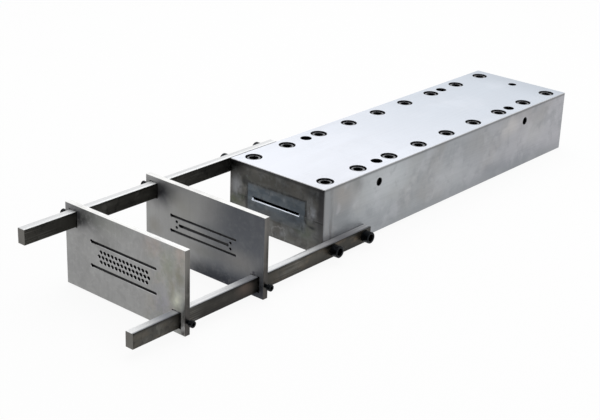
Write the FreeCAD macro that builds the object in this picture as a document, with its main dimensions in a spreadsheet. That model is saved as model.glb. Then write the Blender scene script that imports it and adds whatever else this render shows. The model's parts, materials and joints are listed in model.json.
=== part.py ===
import FreeCAD, Part
import math
import os
import Sketcher

# A pultrusion die: a split heated die block, bolted together by two rows of cap screws, with a
# pair of rails that carry two guide plates in front of its entry face.
# The frame: +Y is the way the profile is pulled, +Z is up, and the origin is the middle of the
# block's underside. All sizes are in millimetres.

Vector = FreeCAD.Vector

# Driving dimensions
SIZES = {
    # The die block
    "die_length": 900,
    "die_width": 250,
    "lower_height": 70,
    "upper_height": 70,
    "block_chamfer": 1,
    "cavity_width": 122,
    "cavity_height": 5,
    "lead_in_radius": 3,
    # The cap screws that clamp the two halves
    "cap_screws_per_row": 9,
    "cap_side_margin": 30,
    "cap_end_margin": 38,
    "cap_thread": 20,
    "cap_length": 80,
    "cap_head_diameter": 30,
    "cap_head_height": 20,
    "cap_socket": 17,
    "cap_socket_depth": 10,
    "cap_edge": 1.6,
    "counterbore_diameter": 34,
    "counterbore_depth": 22,
    "cap_clearance_hole": 22,
    "mouth_chamfer": 1,
    "thread_gap": 0.1,
    "tap_runout": 6,
    # The dowel pins that line the halves up
    "dowel_diameter": 20,
    "dowel_length": 80,
    "dowel_seat_depth": 40,
    "dowel_gap": 0.05,
    "dowel_relief_diameter": 23,
    "dowel_relief_depth": 28,
    "dowel_end_margin": 202,
    "dowel_edge": 1.5,
    # Tapped holes for lifting eyes and for the probe at the exit end
    "lifting_thread": 16,
    "lifting_depth": 32,
    "lifting_below_top": 30,
    "lifting_spacing": 550,
    "probe_diameter": 18,
    "probe_depth": 45,
    # The two rails
    "rail_width": 18,
    "rail_height": 30,
    "left_rail_reach": 527,
    "left_rail_overlap": 142,
    "right_rail_reach": 518,
    "right_rail_overlap": 132,
    "rail_chamfer": 0.8,
    "rail_bolt_margin": 15,
    "rail_bolt_spacing": 98,
    "rail_bolt_hole": 17,
    "rail_bolt_thread": 16,
    "rail_bolt_length": 40,
    "rail_bolt_head_diameter": 24,
    "rail_bolt_head_height": 16,
    "rail_bolt_socket": 14,
    "rail_bolt_socket_depth": 8,
    "rail_bolt_edge": 1.2,
    # The two guide plates
    "plate_thickness": 12,
    "plate_side_margin": 13,
    "plate_edge_margin": 12,
    "window_gap": 1.5,
    "window_clamp_gap": 3,
    "plate_chamfer": 0.4,
    "front_plate_distance": 407,
    "rear_plate_distance": 205,
    "clamp_thread": 8,
    "clamp_length": 20,
    "clamp_head_diameter": 13,
    "clamp_head_height": 8,
    "clamp_socket": 6,
    "clamp_socket_depth": 4,
    "clamp_edge": 0.8,
    "clamp_tip_gap": 0.1,
    "clamp_thread_gap": 0.05,
    # The holes and slots of the front plate
    "roving_hole": 7,
    "roving_pitch": 10,
    "roving_row_spacing": 10,
    "roving_long_row": 14,
    "front_slot_length": 170,
    "front_slot_width": 5,
    "front_slot_offset": 24,
    "front_start_hole": 7,
    # The holes and slots of the rear plate
    "rear_slot_length": 171,
    "rear_slot_width": 4.2,
    "rear_slot_offset": 15.5,
    "rear_start_hole": 6,
    "mat_slot_length": 131,
    "mat_slot_width": 5.2,
    "mat_start_hole": 6.5,
    "edge_hole": 5.5,
    "edge_hole_offset": 71,
    "edge_hole_rise": 6,
}

doc = FreeCAD.newDocument("PultrusionDie")
sheet = doc.addObject("Spreadsheet::Sheet", "Dimensions")


class Size:
    """A length with its number and the sheet expression that it comes from."""

    def __init__(self, number, text):
        self.number = number
        self.text = text

    def joined(self, other, sign, number):
        text = other.text if isinstance(other, Size) else repr(other)
        return Size(number, f"({self.text} {sign} {text})")

    def __add__(self, other):
        return self.joined(other, "+", self.number + plain(other))

    def __sub__(self, other):
        return self.joined(other, "-", self.number - plain(other))

    def __mul__(self, other):
        return self.joined(other, "*", self.number * plain(other))

    def __truediv__(self, other):
        return self.joined(other, "/", self.number / plain(other))

    def __neg__(self):
        return Size(-self.number, f"(-1 * {self.text})")


def plain(value):
    """The number of a size, or the value itself."""
    return value.number if isinstance(value, Size) else value


class Dimensions:
    """The sheet's driving dimensions, each read as an attribute."""


for row, (alias, value) in enumerate(SIZES.items(), start=1):
    sheet.set(f"A{row}", alias.replace("_", " "))
    sheet.set(f"B{row}", str(value))
    sheet.setAlias(f"B{row}", alias)
    setattr(Dimensions, alias, Size(value, f"Dimensions.{alias}"))
doc.recompute()
dim = Dimensions

# Planes and lines that several pieces share
entry_y = -dim.die_length / 2
exit_y = dim.die_length / 2
half_width = dim.die_width / 2
parting_z = dim.lower_height
top_z = dim.lower_height + dim.upper_height
half_cavity = dim.cavity_width / 2
groove_depth = dim.cavity_height / 2
rail_outer = half_width + dim.rail_width
left_rail_z = top_z - dim.rail_height / 2
right_rail_z = dim.rail_height / 2
rail_bolt_ys = [
    entry_y + dim.rail_bolt_margin,
    entry_y + dim.rail_bolt_margin + dim.rail_bolt_spacing,
]
cap_count = int(dim.cap_screws_per_row.number)
cap_pitch = (dim.die_length - dim.cap_end_margin * 2) / (dim.cap_screws_per_row - 1)
cap_ys = [entry_y + dim.cap_end_margin + cap_pitch * step for step in range(cap_count)]
cap_seat_z = top_z - dim.counterbore_depth
dowel_ys = [entry_y + dim.dowel_end_margin, exit_y - dim.dowel_end_margin]
dowel_floor_z = parting_z - dim.dowel_seat_depth
lifting_ys = [-dim.lifting_spacing / 2, dim.lifting_spacing / 2]
lifting_z = top_z - dim.lifting_below_top

# Two places this close are taken as the same
SAME_PLACE = 1e-4


def bind(item, name, value):
    """Sets a property to a size, and ties it to the sheet."""
    if isinstance(value, Size):
        item.setExpression(name, value.text)
    else:
        setattr(item, name, value)


def new_body(label):
    body = doc.addObject("PartDesign::Body", label)
    body.Label = label
    return body


def new_sketch(body, name, role, offset=None):
    """A sketch on one of the body's own origin planes, moved along that plane's normal."""
    sketch = body.newObject("Sketcher::SketchObject", f"{body.Name}_{name}")
    plane = [item for item in body.Origin.OriginFeatures if item.Role == role][0]
    sketch.AttachmentSupport = (plane, [""])
    sketch.MapMode = "FlatFace"
    if offset is not None:
        bind(sketch, "AttachmentOffset.Base.z", offset)
    return sketch


def hold(sketch, kind, first, second, value):
    """One dimension of a sketch: a DistanceX or DistanceY from the sketch's origin to a point."""
    index = sketch.addConstraint(Sketcher.Constraint(kind, -1, 1, first, second, plain(value)))
    if isinstance(value, Size):
        sketch.setExpression(f"Constraints[{index}]", value.text)


def hold_point(sketch, edge, end, across, up):
    hold(sketch, "DistanceX", edge, end, across)
    hold(sketch, "DistanceY", edge, end, up)


def draw_polygon(sketch, points):
    """A closed outline through points given as pairs of sizes."""
    places = [Vector(plain(across), plain(up), 0) for across, up in points]
    first = len(sketch.Geometry)
    count = len(points)
    for step in range(count):
        sketch.addGeometry(Part.LineSegment(places[step], places[(step + 1) % count]), False)
    for step in range(count):
        following = first + (step + 1) % count
        sketch.addConstraint(Sketcher.Constraint("Coincident", first + step, 2, following, 1))
    for step, (across, up) in enumerate(points):
        hold_point(sketch, first + step, 1, across, up)


def draw_rectangle(sketch, left, right, bottom, top):
    draw_polygon(sketch, [(left, bottom), (right, bottom), (right, top), (left, top)])


def draw_circle(sketch, across, up, diameter):
    centre = Vector(plain(across), plain(up), 0)
    circle = Part.Circle(centre, Vector(0, 0, 1), plain(diameter) / 2)
    edge = sketch.addGeometry(circle, False)
    hold_point(sketch, edge, 3, across, up)
    index = sketch.addConstraint(Sketcher.Constraint("Diameter", edge, plain(diameter)))
    if isinstance(diameter, Size):
        sketch.setExpression(f"Constraints[{index}]", diameter.text)


def draw_slot(sketch, left, right, up, width):
    """A straight slot with round ends. left and right are the middles of its end arcs."""
    radius = plain(width) / 2
    left_place = Vector(plain(left), plain(up), 0)
    right_place = Vector(plain(right), plain(up), 0)
    quarter = math.pi / 2
    normal = Vector(0, 0, 1)
    left_circle = Part.Circle(left_place, normal, radius)
    right_circle = Part.Circle(right_place, normal, radius)
    rise = Vector(0, radius, 0)
    arc_left = sketch.addGeometry(Part.ArcOfCircle(left_circle, quarter, 3 * quarter), False)
    arc_right = sketch.addGeometry(Part.ArcOfCircle(right_circle, -quarter, quarter), False)
    low = sketch.addGeometry(Part.LineSegment(left_place - rise, right_place - rise), False)
    high = sketch.addGeometry(Part.LineSegment(right_place + rise, left_place + rise), False)
    sketch.addConstraint(Sketcher.Constraint("Tangent", arc_left, 2, low, 1))
    sketch.addConstraint(Sketcher.Constraint("Tangent", low, 2, arc_right, 1))
    sketch.addConstraint(Sketcher.Constraint("Tangent", arc_right, 2, high, 1))
    sketch.addConstraint(Sketcher.Constraint("Tangent", high, 2, arc_left, 1))
    sketch.addConstraint(Sketcher.Constraint("Equal", arc_left, arc_right))
    hold_point(sketch, arc_left, 3, left, up)
    hold_point(sketch, arc_right, 3, right, up)
    index = sketch.addConstraint(Sketcher.Constraint("Diameter", arc_left, plain(width)))
    sketch.setExpression(f"Constraints[{index}]", width.text)


def add_pad(body, name, sketch, length):
    pad = body.newObject("PartDesign::Pad", f"{body.Name}_{name}")
    pad.Profile = sketch
    bind(pad, "Length", length)
    sketch.Visibility = False
    doc.recompute()
    return pad


def add_pocket(body, name, sketch, depth=None, reverse=False):
    """A cut below the sketch, or above it when reversed. With no depth it goes right through."""
    before = body.Shape.Volume
    pocket = body.newObject("PartDesign::Pocket", f"{body.Name}_{name}")
    pocket.Profile = sketch
    pocket.Reversed = reverse
    if depth is None:
        pocket.Type = "ThroughAll"
    else:
        bind(pocket, "Length", depth)
    doc.recompute()
    if body.Shape.Volume >= before:
        raise RuntimeError(f"{body.Label}: {name} cuts nothing")
    return pocket


def edges_where(body, wanted):
    """Names of the edges of the body's last feature for which wanted(edge) holds."""
    edges = enumerate(body.Tip.Shape.Edges, start=1)
    return [f"Edge{number}" for number, edge in edges if wanted(edge)]


def add_edge_feature(body, kind, name, size_name, size, wanted):
    """A Fillet or Chamfer on the chosen edges."""
    chosen = edges_where(body, wanted)
    if not chosen:
        raise RuntimeError(f"{body.Label}: {name} finds no edge")
    base = body.Tip
    feature = body.newObject(f"PartDesign::{kind}", f"{body.Name}_{name}")
    feature.Base = (base, chosen)
    bind(feature, size_name, size)
    doc.recompute()
    return feature


def add_chamfer(body, name, size, wanted):
    return add_edge_feature(body, "Chamfer", name, "Size", size, wanted)


def add_fillet(body, name, radius, wanted):
    return add_edge_feature(body, "Fillet", name, "Radius", radius, wanted)


def is_circle(edge):
    return isinstance(edge.Curve, Part.Circle)


def is_near(value, target):
    return abs(value - plain(target)) < SAME_PLACE


def lies_at(edge, axis, target):
    """True if the whole edge lies in the plane where that coordinate is target."""
    box = edge.BoundBox
    low = getattr(box, f"{axis}Min")
    high = getattr(box, f"{axis}Max")
    return is_near(low, target) and is_near(high, target)


# The die halves


def is_lead_in(edge):
    """An edge where the cavity opens in the entry face."""
    box = edge.BoundBox
    inside = box.XMin > -half_cavity.number - SAME_PLACE and box.XMax < half_cavity.number + SAME_PLACE
    low = parting_z.number - groove_depth.number - SAME_PLACE
    high = parting_z.number + groove_depth.number + SAME_PLACE
    return lies_at(edge, "Y", entry_y) and inside and box.ZMin > low and box.ZMax < high


def is_block_corner(edge):
    """An upright corner edge of the block."""
    at_side = lies_at(edge, "X", half_width) or lies_at(edge, "X", -half_width)
    at_end = lies_at(edge, "Y", entry_y) or lies_at(edge, "Y", exit_y)
    return at_side and at_end


def add_half(label, section):
    """One half of the block: its section drawn at the exit end and drawn out along its length."""
    body = new_body(label)
    outline = new_sketch(body, "section", "XZ_Plane", -exit_y)
    draw_polygon(outline, section)
    add_pad(body, "block", outline, dim.die_length)
    add_fillet(body, "lead_in", dim.lead_in_radius, is_lead_in)
    return body


def add_side_holes(body, name, side, places, diameter, depth):
    """Blind holes in one side of the block, drawn on that side's face. side is -1 or 1."""
    sketch = new_sketch(body, name, "YZ_Plane", half_width * side)
    for along, height in places:
        draw_circle(sketch, along, height, diameter)
    add_pocket(body, f"{name}_cut", sketch, depth, reverse=side < 0)


tap_depth = dim.rail_bolt_length - dim.rail_width + dim.tap_runout
tap_diameter = dim.rail_bolt_thread + dim.thread_gap * 2

upper = add_half(
    "upper_die_half",
    [
        (-half_width, parting_z),
        (-half_cavity, parting_z),
        (-half_cavity, parting_z + groove_depth),
        (half_cavity, parting_z + groove_depth),
        (half_cavity, parting_z),
        (half_width, parting_z),
        (half_width, top_z),
        (-half_width, top_z),
    ],
)
row_x = half_width - dim.cap_side_margin
rows = [-row_x, row_x]

counterbores = new_sketch(upper, "counterbores", "XY_Plane", top_z)
clearance_holes = new_sketch(upper, "clearance_holes", "XY_Plane", top_z)
for across in rows:
    for along in cap_ys:
        draw_circle(counterbores, across, along, dim.counterbore_diameter)
        draw_circle(clearance_holes, across, along, dim.cap_clearance_hole)
add_pocket(upper, "counterbore_cut", counterbores, dim.counterbore_depth)
add_pocket(upper, "clearance_cut", clearance_holes)

dowel_holes = new_sketch(upper, "dowel_holes", "XY_Plane", top_z)
dowel_reliefs = new_sketch(upper, "dowel_reliefs", "XY_Plane", top_z)
for across in rows:
    for along in dowel_ys:
        draw_circle(dowel_holes, across, along, dim.dowel_diameter + dim.dowel_gap * 2)
        draw_circle(dowel_reliefs, across, along, dim.dowel_relief_diameter)
add_pocket(upper, "dowel_relief_cut", dowel_reliefs, dim.dowel_relief_depth)
add_pocket(upper, "dowel_cut", dowel_holes)

probe_hole = new_sketch(upper, "probe_hole", "XY_Plane", top_z)
draw_circle(probe_hole, 0, exit_y - dim.cap_end_margin, dim.probe_diameter)
add_pocket(upper, "probe_cut", probe_hole, dim.probe_depth)

lifting_places = [(along, lifting_z) for along in lifting_ys]
for side, side_name in ((-1, "left"), (1, "right")):
    name = f"{side_name}_lifting"
    add_side_holes(upper, name, side, lifting_places, dim.lifting_thread, dim.lifting_depth)
left_bolt_places = [(along, left_rail_z) for along in rail_bolt_ys]
add_side_holes(upper, "rail_bolts", -1, left_bolt_places, tap_diameter, tap_depth)


def is_upper_mouth(edge):
    """The mouth of a hole in the top face, or of a lifting hole in a side."""
    if not is_circle(edge):
        return False
    at_side = lies_at(edge, "X", half_width) or lies_at(edge, "X", -half_width)
    return lies_at(edge, "Z", top_z) or (at_side and is_near(edge.Curve.Center.z, lifting_z))


def is_upper_outline(edge):
    """The outline of the top face and the corners."""
    at_top = lies_at(edge, "Z", top_z) and not is_circle(edge)
    return at_top or is_block_corner(edge)


add_chamfer(upper, "mouths", dim.mouth_chamfer, is_upper_mouth)
add_chamfer(upper, "outline", dim.block_chamfer, is_upper_outline)

lower = add_half(
    "lower_die_half",
    [
        (-half_width, 0),
        (half_width, 0),
        (half_width, parting_z),
        (half_cavity, parting_z),
        (half_cavity, parting_z - groove_depth),
        (-half_cavity, parting_z - groove_depth),
        (-half_cavity, parting_z),
        (-half_width, parting_z),
    ],
)

cap_tip_z = cap_seat_z - dim.cap_length
cap_taps = new_sketch(lower, "cap_taps", "XY_Plane", parting_z)
for across in rows:
    for along in cap_ys:
        draw_circle(cap_taps, across, along, dim.cap_thread + dim.thread_gap * 2)
add_pocket(lower, "cap_tap_cut", cap_taps, parting_z - cap_tip_z + dim.tap_runout)

dowel_seats = new_sketch(lower, "dowel_seats", "XY_Plane", parting_z)
for across in rows:
    for along in dowel_ys:
        draw_circle(dowel_seats, across, along, dim.dowel_diameter + dim.dowel_gap * 2)
add_pocket(lower, "dowel_seat_cut", dowel_seats, dim.dowel_seat_depth)

right_bolt_places = [(along, right_rail_z) for along in rail_bolt_ys]
add_side_holes(lower, "rail_bolts", 1, right_bolt_places, tap_diameter, tap_depth)


def is_lower_outline(edge):
    """The outline of the underside and the corners."""
    return lies_at(edge, "Z", 0) or is_block_corner(edge)


add_chamfer(lower, "outline", dim.block_chamfer, is_lower_outline)


# Screws, bolts and pins


def place(body, across, along, height, turn=None):
    if turn is not None:
        body.Placement.Rotation = turn
    bind(body, "Placement.Base.x", across)
    bind(body, "Placement.Base.y", along)
    bind(body, "Placement.Base.z", height)


def add_turned(body, name, outline):
    """A turned piece: half its outline, as pairs of radius and height, spun about its own Z."""
    sketch = new_sketch(body, name, "XZ_Plane")
    draw_polygon(sketch, outline)
    turned = body.newObject("PartDesign::Revolution", f"{body.Name}_turned")
    turned.Profile = sketch
    turned.ReferenceAxis = (sketch, ["V_Axis"])
    turned.Angle = 360
    doc.recompute()
    return turned


def add_socket_screw(label, family, length):
    """A socket head screw along its own Z. The underside of its head is at height 0."""
    thread = getattr(dim, f"{family}_thread")
    head = getattr(dim, f"{family}_head_diameter")
    rise = getattr(dim, f"{family}_head_height")
    socket = getattr(dim, f"{family}_socket")
    edge = getattr(dim, f"{family}_edge")
    body = new_body(label)
    outline = [
        (0, -length),
        (thread / 2 - edge, -length),
        (thread / 2, edge - length),
        (thread / 2, 0),
        (head / 2, 0),
        (head / 2, rise - edge),
        (head / 2 - edge, rise),
        (0, rise),
    ]
    add_turned(body, "profile", outline)
    hexagon = new_sketch(body, "hexagon", "XY_Plane", rise)
    flat = socket / 2
    corner = socket / math.sqrt(3)
    points = [
        (flat, -corner / 2),
        (flat, corner / 2),
        (0, corner),
        (-flat, corner / 2),
        (-flat, -corner / 2),
        (0, -corner),
    ]
    draw_polygon(hexagon, points)
    add_pocket(body, "socket", hexagon, getattr(dim, f"{family}_socket_depth"))
    return body


side_names = ("left", "right")
for across, side_name in zip(rows, side_names):
    for number, along in enumerate(cap_ys, start=1):
        screw = add_socket_screw(f"cap_screw_{side_name}_{number}", "cap", dim.cap_length)
        place(screw, across, along, cap_seat_z)


def add_dowel(label):
    """A dowel pin standing on its own origin, with both ends bevelled."""
    body = new_body(label)
    radius = dim.dowel_diameter / 2
    edge = dim.dowel_edge
    outline = [
        (0, 0),
        (radius - edge, 0),
        (radius, edge),
        (radius, dim.dowel_length - edge),
        (radius - edge, dim.dowel_length),
        (0, dim.dowel_length),
    ]
    add_turned(body, "profile", outline)
    return body


for across, side_name in zip(rows, side_names):
    for along, end_name in zip(dowel_ys, ("entry", "exit")):
        pin = add_dowel(f"dowel_pin_{side_name}_{end_name}")
        place(pin, across, along, dowel_floor_z)

upright = Vector(0, 1, 0)
head_left = FreeCAD.Rotation(upright, -90)
head_right = FreeCAD.Rotation(upright, 90)
sides = (
    ("left", -1, left_rail_z, head_left),
    ("right", 1, right_rail_z, head_right),
)


# The rails and the bolts that hold them to the block


def is_bar_edge(edge):
    """A straight edge of a bar."""
    return isinstance(edge.Curve, Part.Line)


def add_rail(label, side, middle, reach, overlap):
    """A flat bar with two bolt holes. It overlaps the block's side and reaches out in front."""
    body = new_body(label)
    section = new_sketch(body, "section", "XZ_Plane", -(entry_y + overlap))
    inner, outer = half_width * side, rail_outer * side
    left, right = (outer, inner) if side < 0 else (inner, outer)
    bottom = middle - dim.rail_height / 2
    top = middle + dim.rail_height / 2
    draw_rectangle(section, left, right, bottom, top)
    add_pad(body, "bar", section, reach + overlap)
    holes = new_sketch(body, "bolt_holes", "YZ_Plane", outer)
    for along in rail_bolt_ys:
        draw_circle(holes, along, middle, dim.rail_bolt_hole)
    add_pocket(body, "bolt_hole_cut", holes, reverse=side < 0)
    add_chamfer(body, "edges", dim.rail_chamfer, is_bar_edge)
    return body


for side_name, side, middle, turn in sides:
    reach = getattr(dim, f"{side_name}_rail_reach")
    overlap = getattr(dim, f"{side_name}_rail_overlap")
    add_rail(f"{side_name}_rail", side, middle, reach, overlap)
    for along, end_name in zip(rail_bolt_ys, ("front", "rear")):
        label = f"rail_bolt_{side_name}_{end_name}"
        bolt = add_socket_screw(label, "rail_bolt", dim.rail_bolt_length)
        place(bolt, rail_outer * side, along, middle, turn)


# The guide plates


def add_guide_plate(label, front_y):
    """A plate with a window round each rail and a tapped hole to each window from its side edge."""
    body = new_body(label)
    edge_x = rail_outer + dim.plate_side_margin
    outline = new_sketch(body, "outline", "XZ_Plane", -(front_y + dim.plate_thickness))
    low = -dim.plate_edge_margin
    high = top_z + dim.plate_edge_margin
    draw_rectangle(outline, -edge_x, edge_x, low, high)
    for _, side, middle, _ in sides:
        near = half_width - dim.window_gap
        far = rail_outer + dim.window_clamp_gap
        reach = dim.rail_height / 2 + dim.window_gap
        left, right = (-far, -near) if side < 0 else (near, far)
        draw_rectangle(outline, left, right, middle - reach, middle + reach)
    add_pad(body, "plate", outline, dim.plate_thickness)
    middle_y = front_y + dim.plate_thickness / 2
    for name, side, middle, _ in sides:
        sketch = new_sketch(body, f"{name}_clamp", "YZ_Plane", edge_x * side)
        diameter = dim.clamp_thread + dim.clamp_thread_gap * 2
        draw_circle(sketch, middle_y, middle, diameter)
        add_pocket(body, f"{name}_clamp_cut", sketch, dim.plate_side_margin, reverse=side < 0)
    return body


def add_clamp_screws(end_name, front_y):
    middle_y = front_y + dim.plate_thickness / 2
    for side_name, side, middle, turn in sides:
        label = f"{end_name}_clamp_screw_{side_name}"
        screw = add_socket_screw(label, "clamp", dim.clamp_length)
        seat = rail_outer + dim.clamp_tip_gap + dim.clamp_length
        place(screw, seat * side, middle_y, middle, turn)


middle_z = top_z / 2
front_plate_y = entry_y - dim.front_plate_distance
rear_plate_y = entry_y - dim.rear_plate_distance

front_plate = add_guide_plate("front_guide_plate", front_plate_y)
roving_holes = new_sketch(front_plate, "roving_holes", "XZ_Plane", -front_plate_y)
long_row = int(dim.roving_long_row.number)
for rise, count in ((-1, long_row - 1), (0, long_row), (1, long_row - 1)):
    for step in range(count):
        across = dim.roving_pitch * (step - (count - 1) / 2)
        height = middle_z + dim.roving_row_spacing * rise
        draw_circle(roving_holes, across, height, dim.roving_hole)
add_pocket(front_plate, "roving_cut", roving_holes)


def add_slots(body, name, front_y, length, width, heights):
    sketch = new_sketch(body, name, "XZ_Plane", -front_y)
    reach = length / 2 - width / 2
    for height in heights:
        draw_slot(sketch, -reach, reach, height, width)
    add_pocket(body, f"{name}_cut", sketch)


def add_start_holes(body, name, front_y, across, heights, diameter):
    """The drilled holes from which thin slots are cut."""
    sketch = new_sketch(body, name, "XZ_Plane", -front_y)
    for height in heights:
        draw_circle(sketch, across, height, diameter)
    add_pocket(body, f"{name}_cut", sketch)


front_slots = [middle_z - dim.front_slot_offset, middle_z + dim.front_slot_offset]
add_slots(
    front_plate, "slots", front_plate_y, dim.front_slot_length, dim.front_slot_width, front_slots
)
front_slot_end = -dim.front_slot_length / 2
add_start_holes(
    front_plate, "start_holes", front_plate_y, front_slot_end, front_slots, dim.front_start_hole
)

rear_plate = add_guide_plate("rear_guide_plate", rear_plate_y)
rear_slots = [middle_z - dim.rear_slot_offset, middle_z + dim.rear_slot_offset]
add_slots(
    rear_plate, "slots", rear_plate_y, dim.rear_slot_length, dim.rear_slot_width, rear_slots
)
add_slots(
    rear_plate, "mat_slot", rear_plate_y, dim.mat_slot_length, dim.mat_slot_width, [middle_z]
)
rear_slot_end = -dim.rear_slot_length / 2
mat_slot_end = dim.mat_slot_length / 2 - dim.mat_slot_width / 2
add_start_holes(
    rear_plate, "start_holes", rear_plate_y, rear_slot_end, rear_slots, dim.rear_start_hole
)
add_start_holes(
    rear_plate, "mat_start_hole", rear_plate_y, mat_slot_end, [middle_z], dim.mat_start_hole
)
edge_holes = new_sketch(rear_plate, "edge_holes", "XZ_Plane", -rear_plate_y)
for side in (-1, 1):
    for rise in (-1, 1):
        height = middle_z + dim.edge_hole_rise * rise
        draw_circle(edge_holes, dim.edge_hole_offset * side, height, dim.edge_hole)
add_pocket(rear_plate, "edge_hole_cut", edge_holes)


def is_plate_edge(edge):
    """One of the twelve outer edges of a plate."""
    edge_x = rail_outer + dim.plate_side_margin
    low = -dim.plate_edge_margin
    high = top_z + dim.plate_edge_margin
    at_side = lies_at(edge, "X", edge_x) or lies_at(edge, "X", -edge_x)
    at_end = lies_at(edge, "Z", low) or lies_at(edge, "Z", high)
    return not is_circle(edge) and (at_side or at_end)


add_chamfer(front_plate, "edges", dim.plate_chamfer, is_plate_edge)
add_chamfer(rear_plate, "edges", dim.plate_chamfer, is_plate_edge)
add_clamp_screws("front", front_plate_y)
add_clamp_screws("rear", rear_plate_y)

# Checks, then one file for each piece
doc.recompute()
for item in doc.Objects:
    faults = [state for state in item.State if state in ("Invalid", "Error")]
    if faults:
        raise RuntimeError(f"{item.Label} is {faults}")
pieces = [item for item in doc.Objects if item.TypeId == "PartDesign::Body"]
for piece in pieces:
    if piece.Shape.isNull() or not piece.Shape.isValid() or len(piece.Shape.Solids) != 1:
        raise RuntimeError(f"{piece.Label} is not one valid solid")

os.makedirs("parts", exist_ok=True)
for piece in pieces:
    piece.Shape.exportStep(f"parts/{piece.Label}.step")
print(f"{len(pieces)} pieces")
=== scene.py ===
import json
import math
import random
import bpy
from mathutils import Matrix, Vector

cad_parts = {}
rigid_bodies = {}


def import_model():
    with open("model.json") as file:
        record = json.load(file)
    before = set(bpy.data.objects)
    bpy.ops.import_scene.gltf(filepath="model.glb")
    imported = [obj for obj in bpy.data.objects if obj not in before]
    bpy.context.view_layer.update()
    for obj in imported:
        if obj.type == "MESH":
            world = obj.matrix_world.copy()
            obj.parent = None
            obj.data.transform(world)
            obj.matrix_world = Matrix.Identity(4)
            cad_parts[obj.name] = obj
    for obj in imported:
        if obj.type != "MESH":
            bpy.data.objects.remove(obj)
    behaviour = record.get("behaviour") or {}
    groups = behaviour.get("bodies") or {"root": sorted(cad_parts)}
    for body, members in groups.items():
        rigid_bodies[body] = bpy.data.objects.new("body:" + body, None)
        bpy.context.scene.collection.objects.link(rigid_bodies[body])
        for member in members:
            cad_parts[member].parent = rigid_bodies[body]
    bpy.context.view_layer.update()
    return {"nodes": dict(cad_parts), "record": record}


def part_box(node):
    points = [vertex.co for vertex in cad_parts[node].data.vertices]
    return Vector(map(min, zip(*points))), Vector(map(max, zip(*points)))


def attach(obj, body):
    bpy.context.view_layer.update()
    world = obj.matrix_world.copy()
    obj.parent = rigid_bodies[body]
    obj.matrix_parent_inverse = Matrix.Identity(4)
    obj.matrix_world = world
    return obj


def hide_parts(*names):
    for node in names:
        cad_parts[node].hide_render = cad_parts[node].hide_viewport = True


bl_info = {
    "name": "Pultrusion die",
    "version": (1, 0, 0),
    "blender": (4, 5, 0),
    "location": "3D View > Sidebar > Pultrusion die",
    "description": "Dresses a split steel pultrusion die, its rails, guide plates and screws",
    "category": "Object",
}

import bmesh
import bpy
from mathutils import Matrix, Vector

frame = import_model()

MILLIMETRE = 0.001
LEAD_IN = 3.2 * MILLIMETRE
SAME_PLACE = 0.00002
FLAT = 0.99
PLATE_BORDER_X = 0.06
PLATE_BORDER_Z = 0.03

upper_low, upper_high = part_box("upper_die_half")
lower_low, lower_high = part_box("lower_die_half")
ENTRY_Y = upper_low.y
EXIT_Y = upper_high.y
FRONT_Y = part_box("front_guide_plate")[0].y
REAR_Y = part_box("rear_guide_plate")[0].y
HALF_WIDTH = upper_high.x
TOP_Z = upper_high.z
PARTING_Z = upper_low.z
CAP_ROW = range(1, 10)
SIDES = ("left", "right")
ENDS = ("front", "rear")
MOUTHS = ("entry", "exit")


# Sizes and colours that a user may change


def length(name, description, default):
    return bpy.props.FloatProperty(
        name=name, description=description, default=default, min=0, unit="LENGTH", precision=5
    )


def colour(name, description, default):
    return bpy.props.FloatVectorProperty(
        name=name, description=description, default=default, size=3, min=0, max=1, subtype="COLOR"
    )


class DieEdgeSettings(bpy.types.PropertyGroup):
    block_edge: length("Block edge", "Broken edge of the die halves and their holes", 0.00015)
    rail_edge: length("Rail edge", "Rounding of the rails' ends and bolt holes", 0.0003)
    plate_edge: length("Plate edge", "Broken edge of the plates' windows", 0.0002)
    countersink: length("Countersink", "Countersink of the plates' holes and slots", 0.0006)


class DieFastenerSettings(bpy.types.PropertyGroup):
    knurl_depth: length("Knurl depth", "How deep the ribs on a screw's head are cut", 0.00035)
    cap_pitch: length("Cap screw pitch", "Thread pitch of the M20 screws and tapped holes", 0.0025)
    rail_bolt_pitch: length("Rail bolt pitch", "Thread pitch of the M16 rail bolts", 0.002)
    clamp_pitch: length("Clamp screw pitch", "Thread pitch of the M8 clamp screws", 0.00125)


class DieColourSettings(bpy.types.PropertyGroup):
    # The top's brightness is a painted reflection of the sky
    top_near: colour("Top near", "Ground top at the entry end", (0.78, 0.8, 0.86))
    top_far: colour("Top far", "Ground top at the exit end", (0.56, 0.61, 0.68))
    side_near: colour("Side near", "Ground side at the entry end", (0.325, 0.342, 0.36))
    side_far: colour("Side far", "Ground side at the exit end", (0.4, 0.4, 0.425))
    # The entry face's dark tone is partly painted shade
    entry: colour("Entry face", "Darkened face round the cavity", (0.104, 0.101, 0.095))
    plate: colour("Guide plate", "Ground face of the guide plates", (0.325, 0.325, 0.322))
    rail: colour("Rail side", "Dark rolled side of the rails", (0.036, 0.034, 0.029))
    # The rail tops' brightness is partly a painted reflection of the sky
    rail_top: colour("Rail top", "Bright rubbed top of the rails", (0.9, 0.91, 0.92))
    oxide: colour("Black oxide", "Blackened screws and bolts", (0.004, 0.005, 0.0065))


class DieStageSettings(bpy.types.PropertyGroup):
    floor_size: length("Floor size", "Edge of the square floor", 60)
    floor: colour("Floor", "Pale floor", (0.9, 0.9, 0.9))
    floor_glow: bpy.props.FloatProperty(
        name="Floor whiteness",
        description="Share of plain white that the camera and reflections see on the floor",
        default=0.92,
        min=0,
        max=1,
        subtype="FACTOR",
    )
    lens: bpy.props.FloatProperty(
        name="Lens", description="Focal length on a 36 mm sensor", default=81.13, unit="CAMERA"
    )


# Node trees

HALF = 0.5


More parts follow.
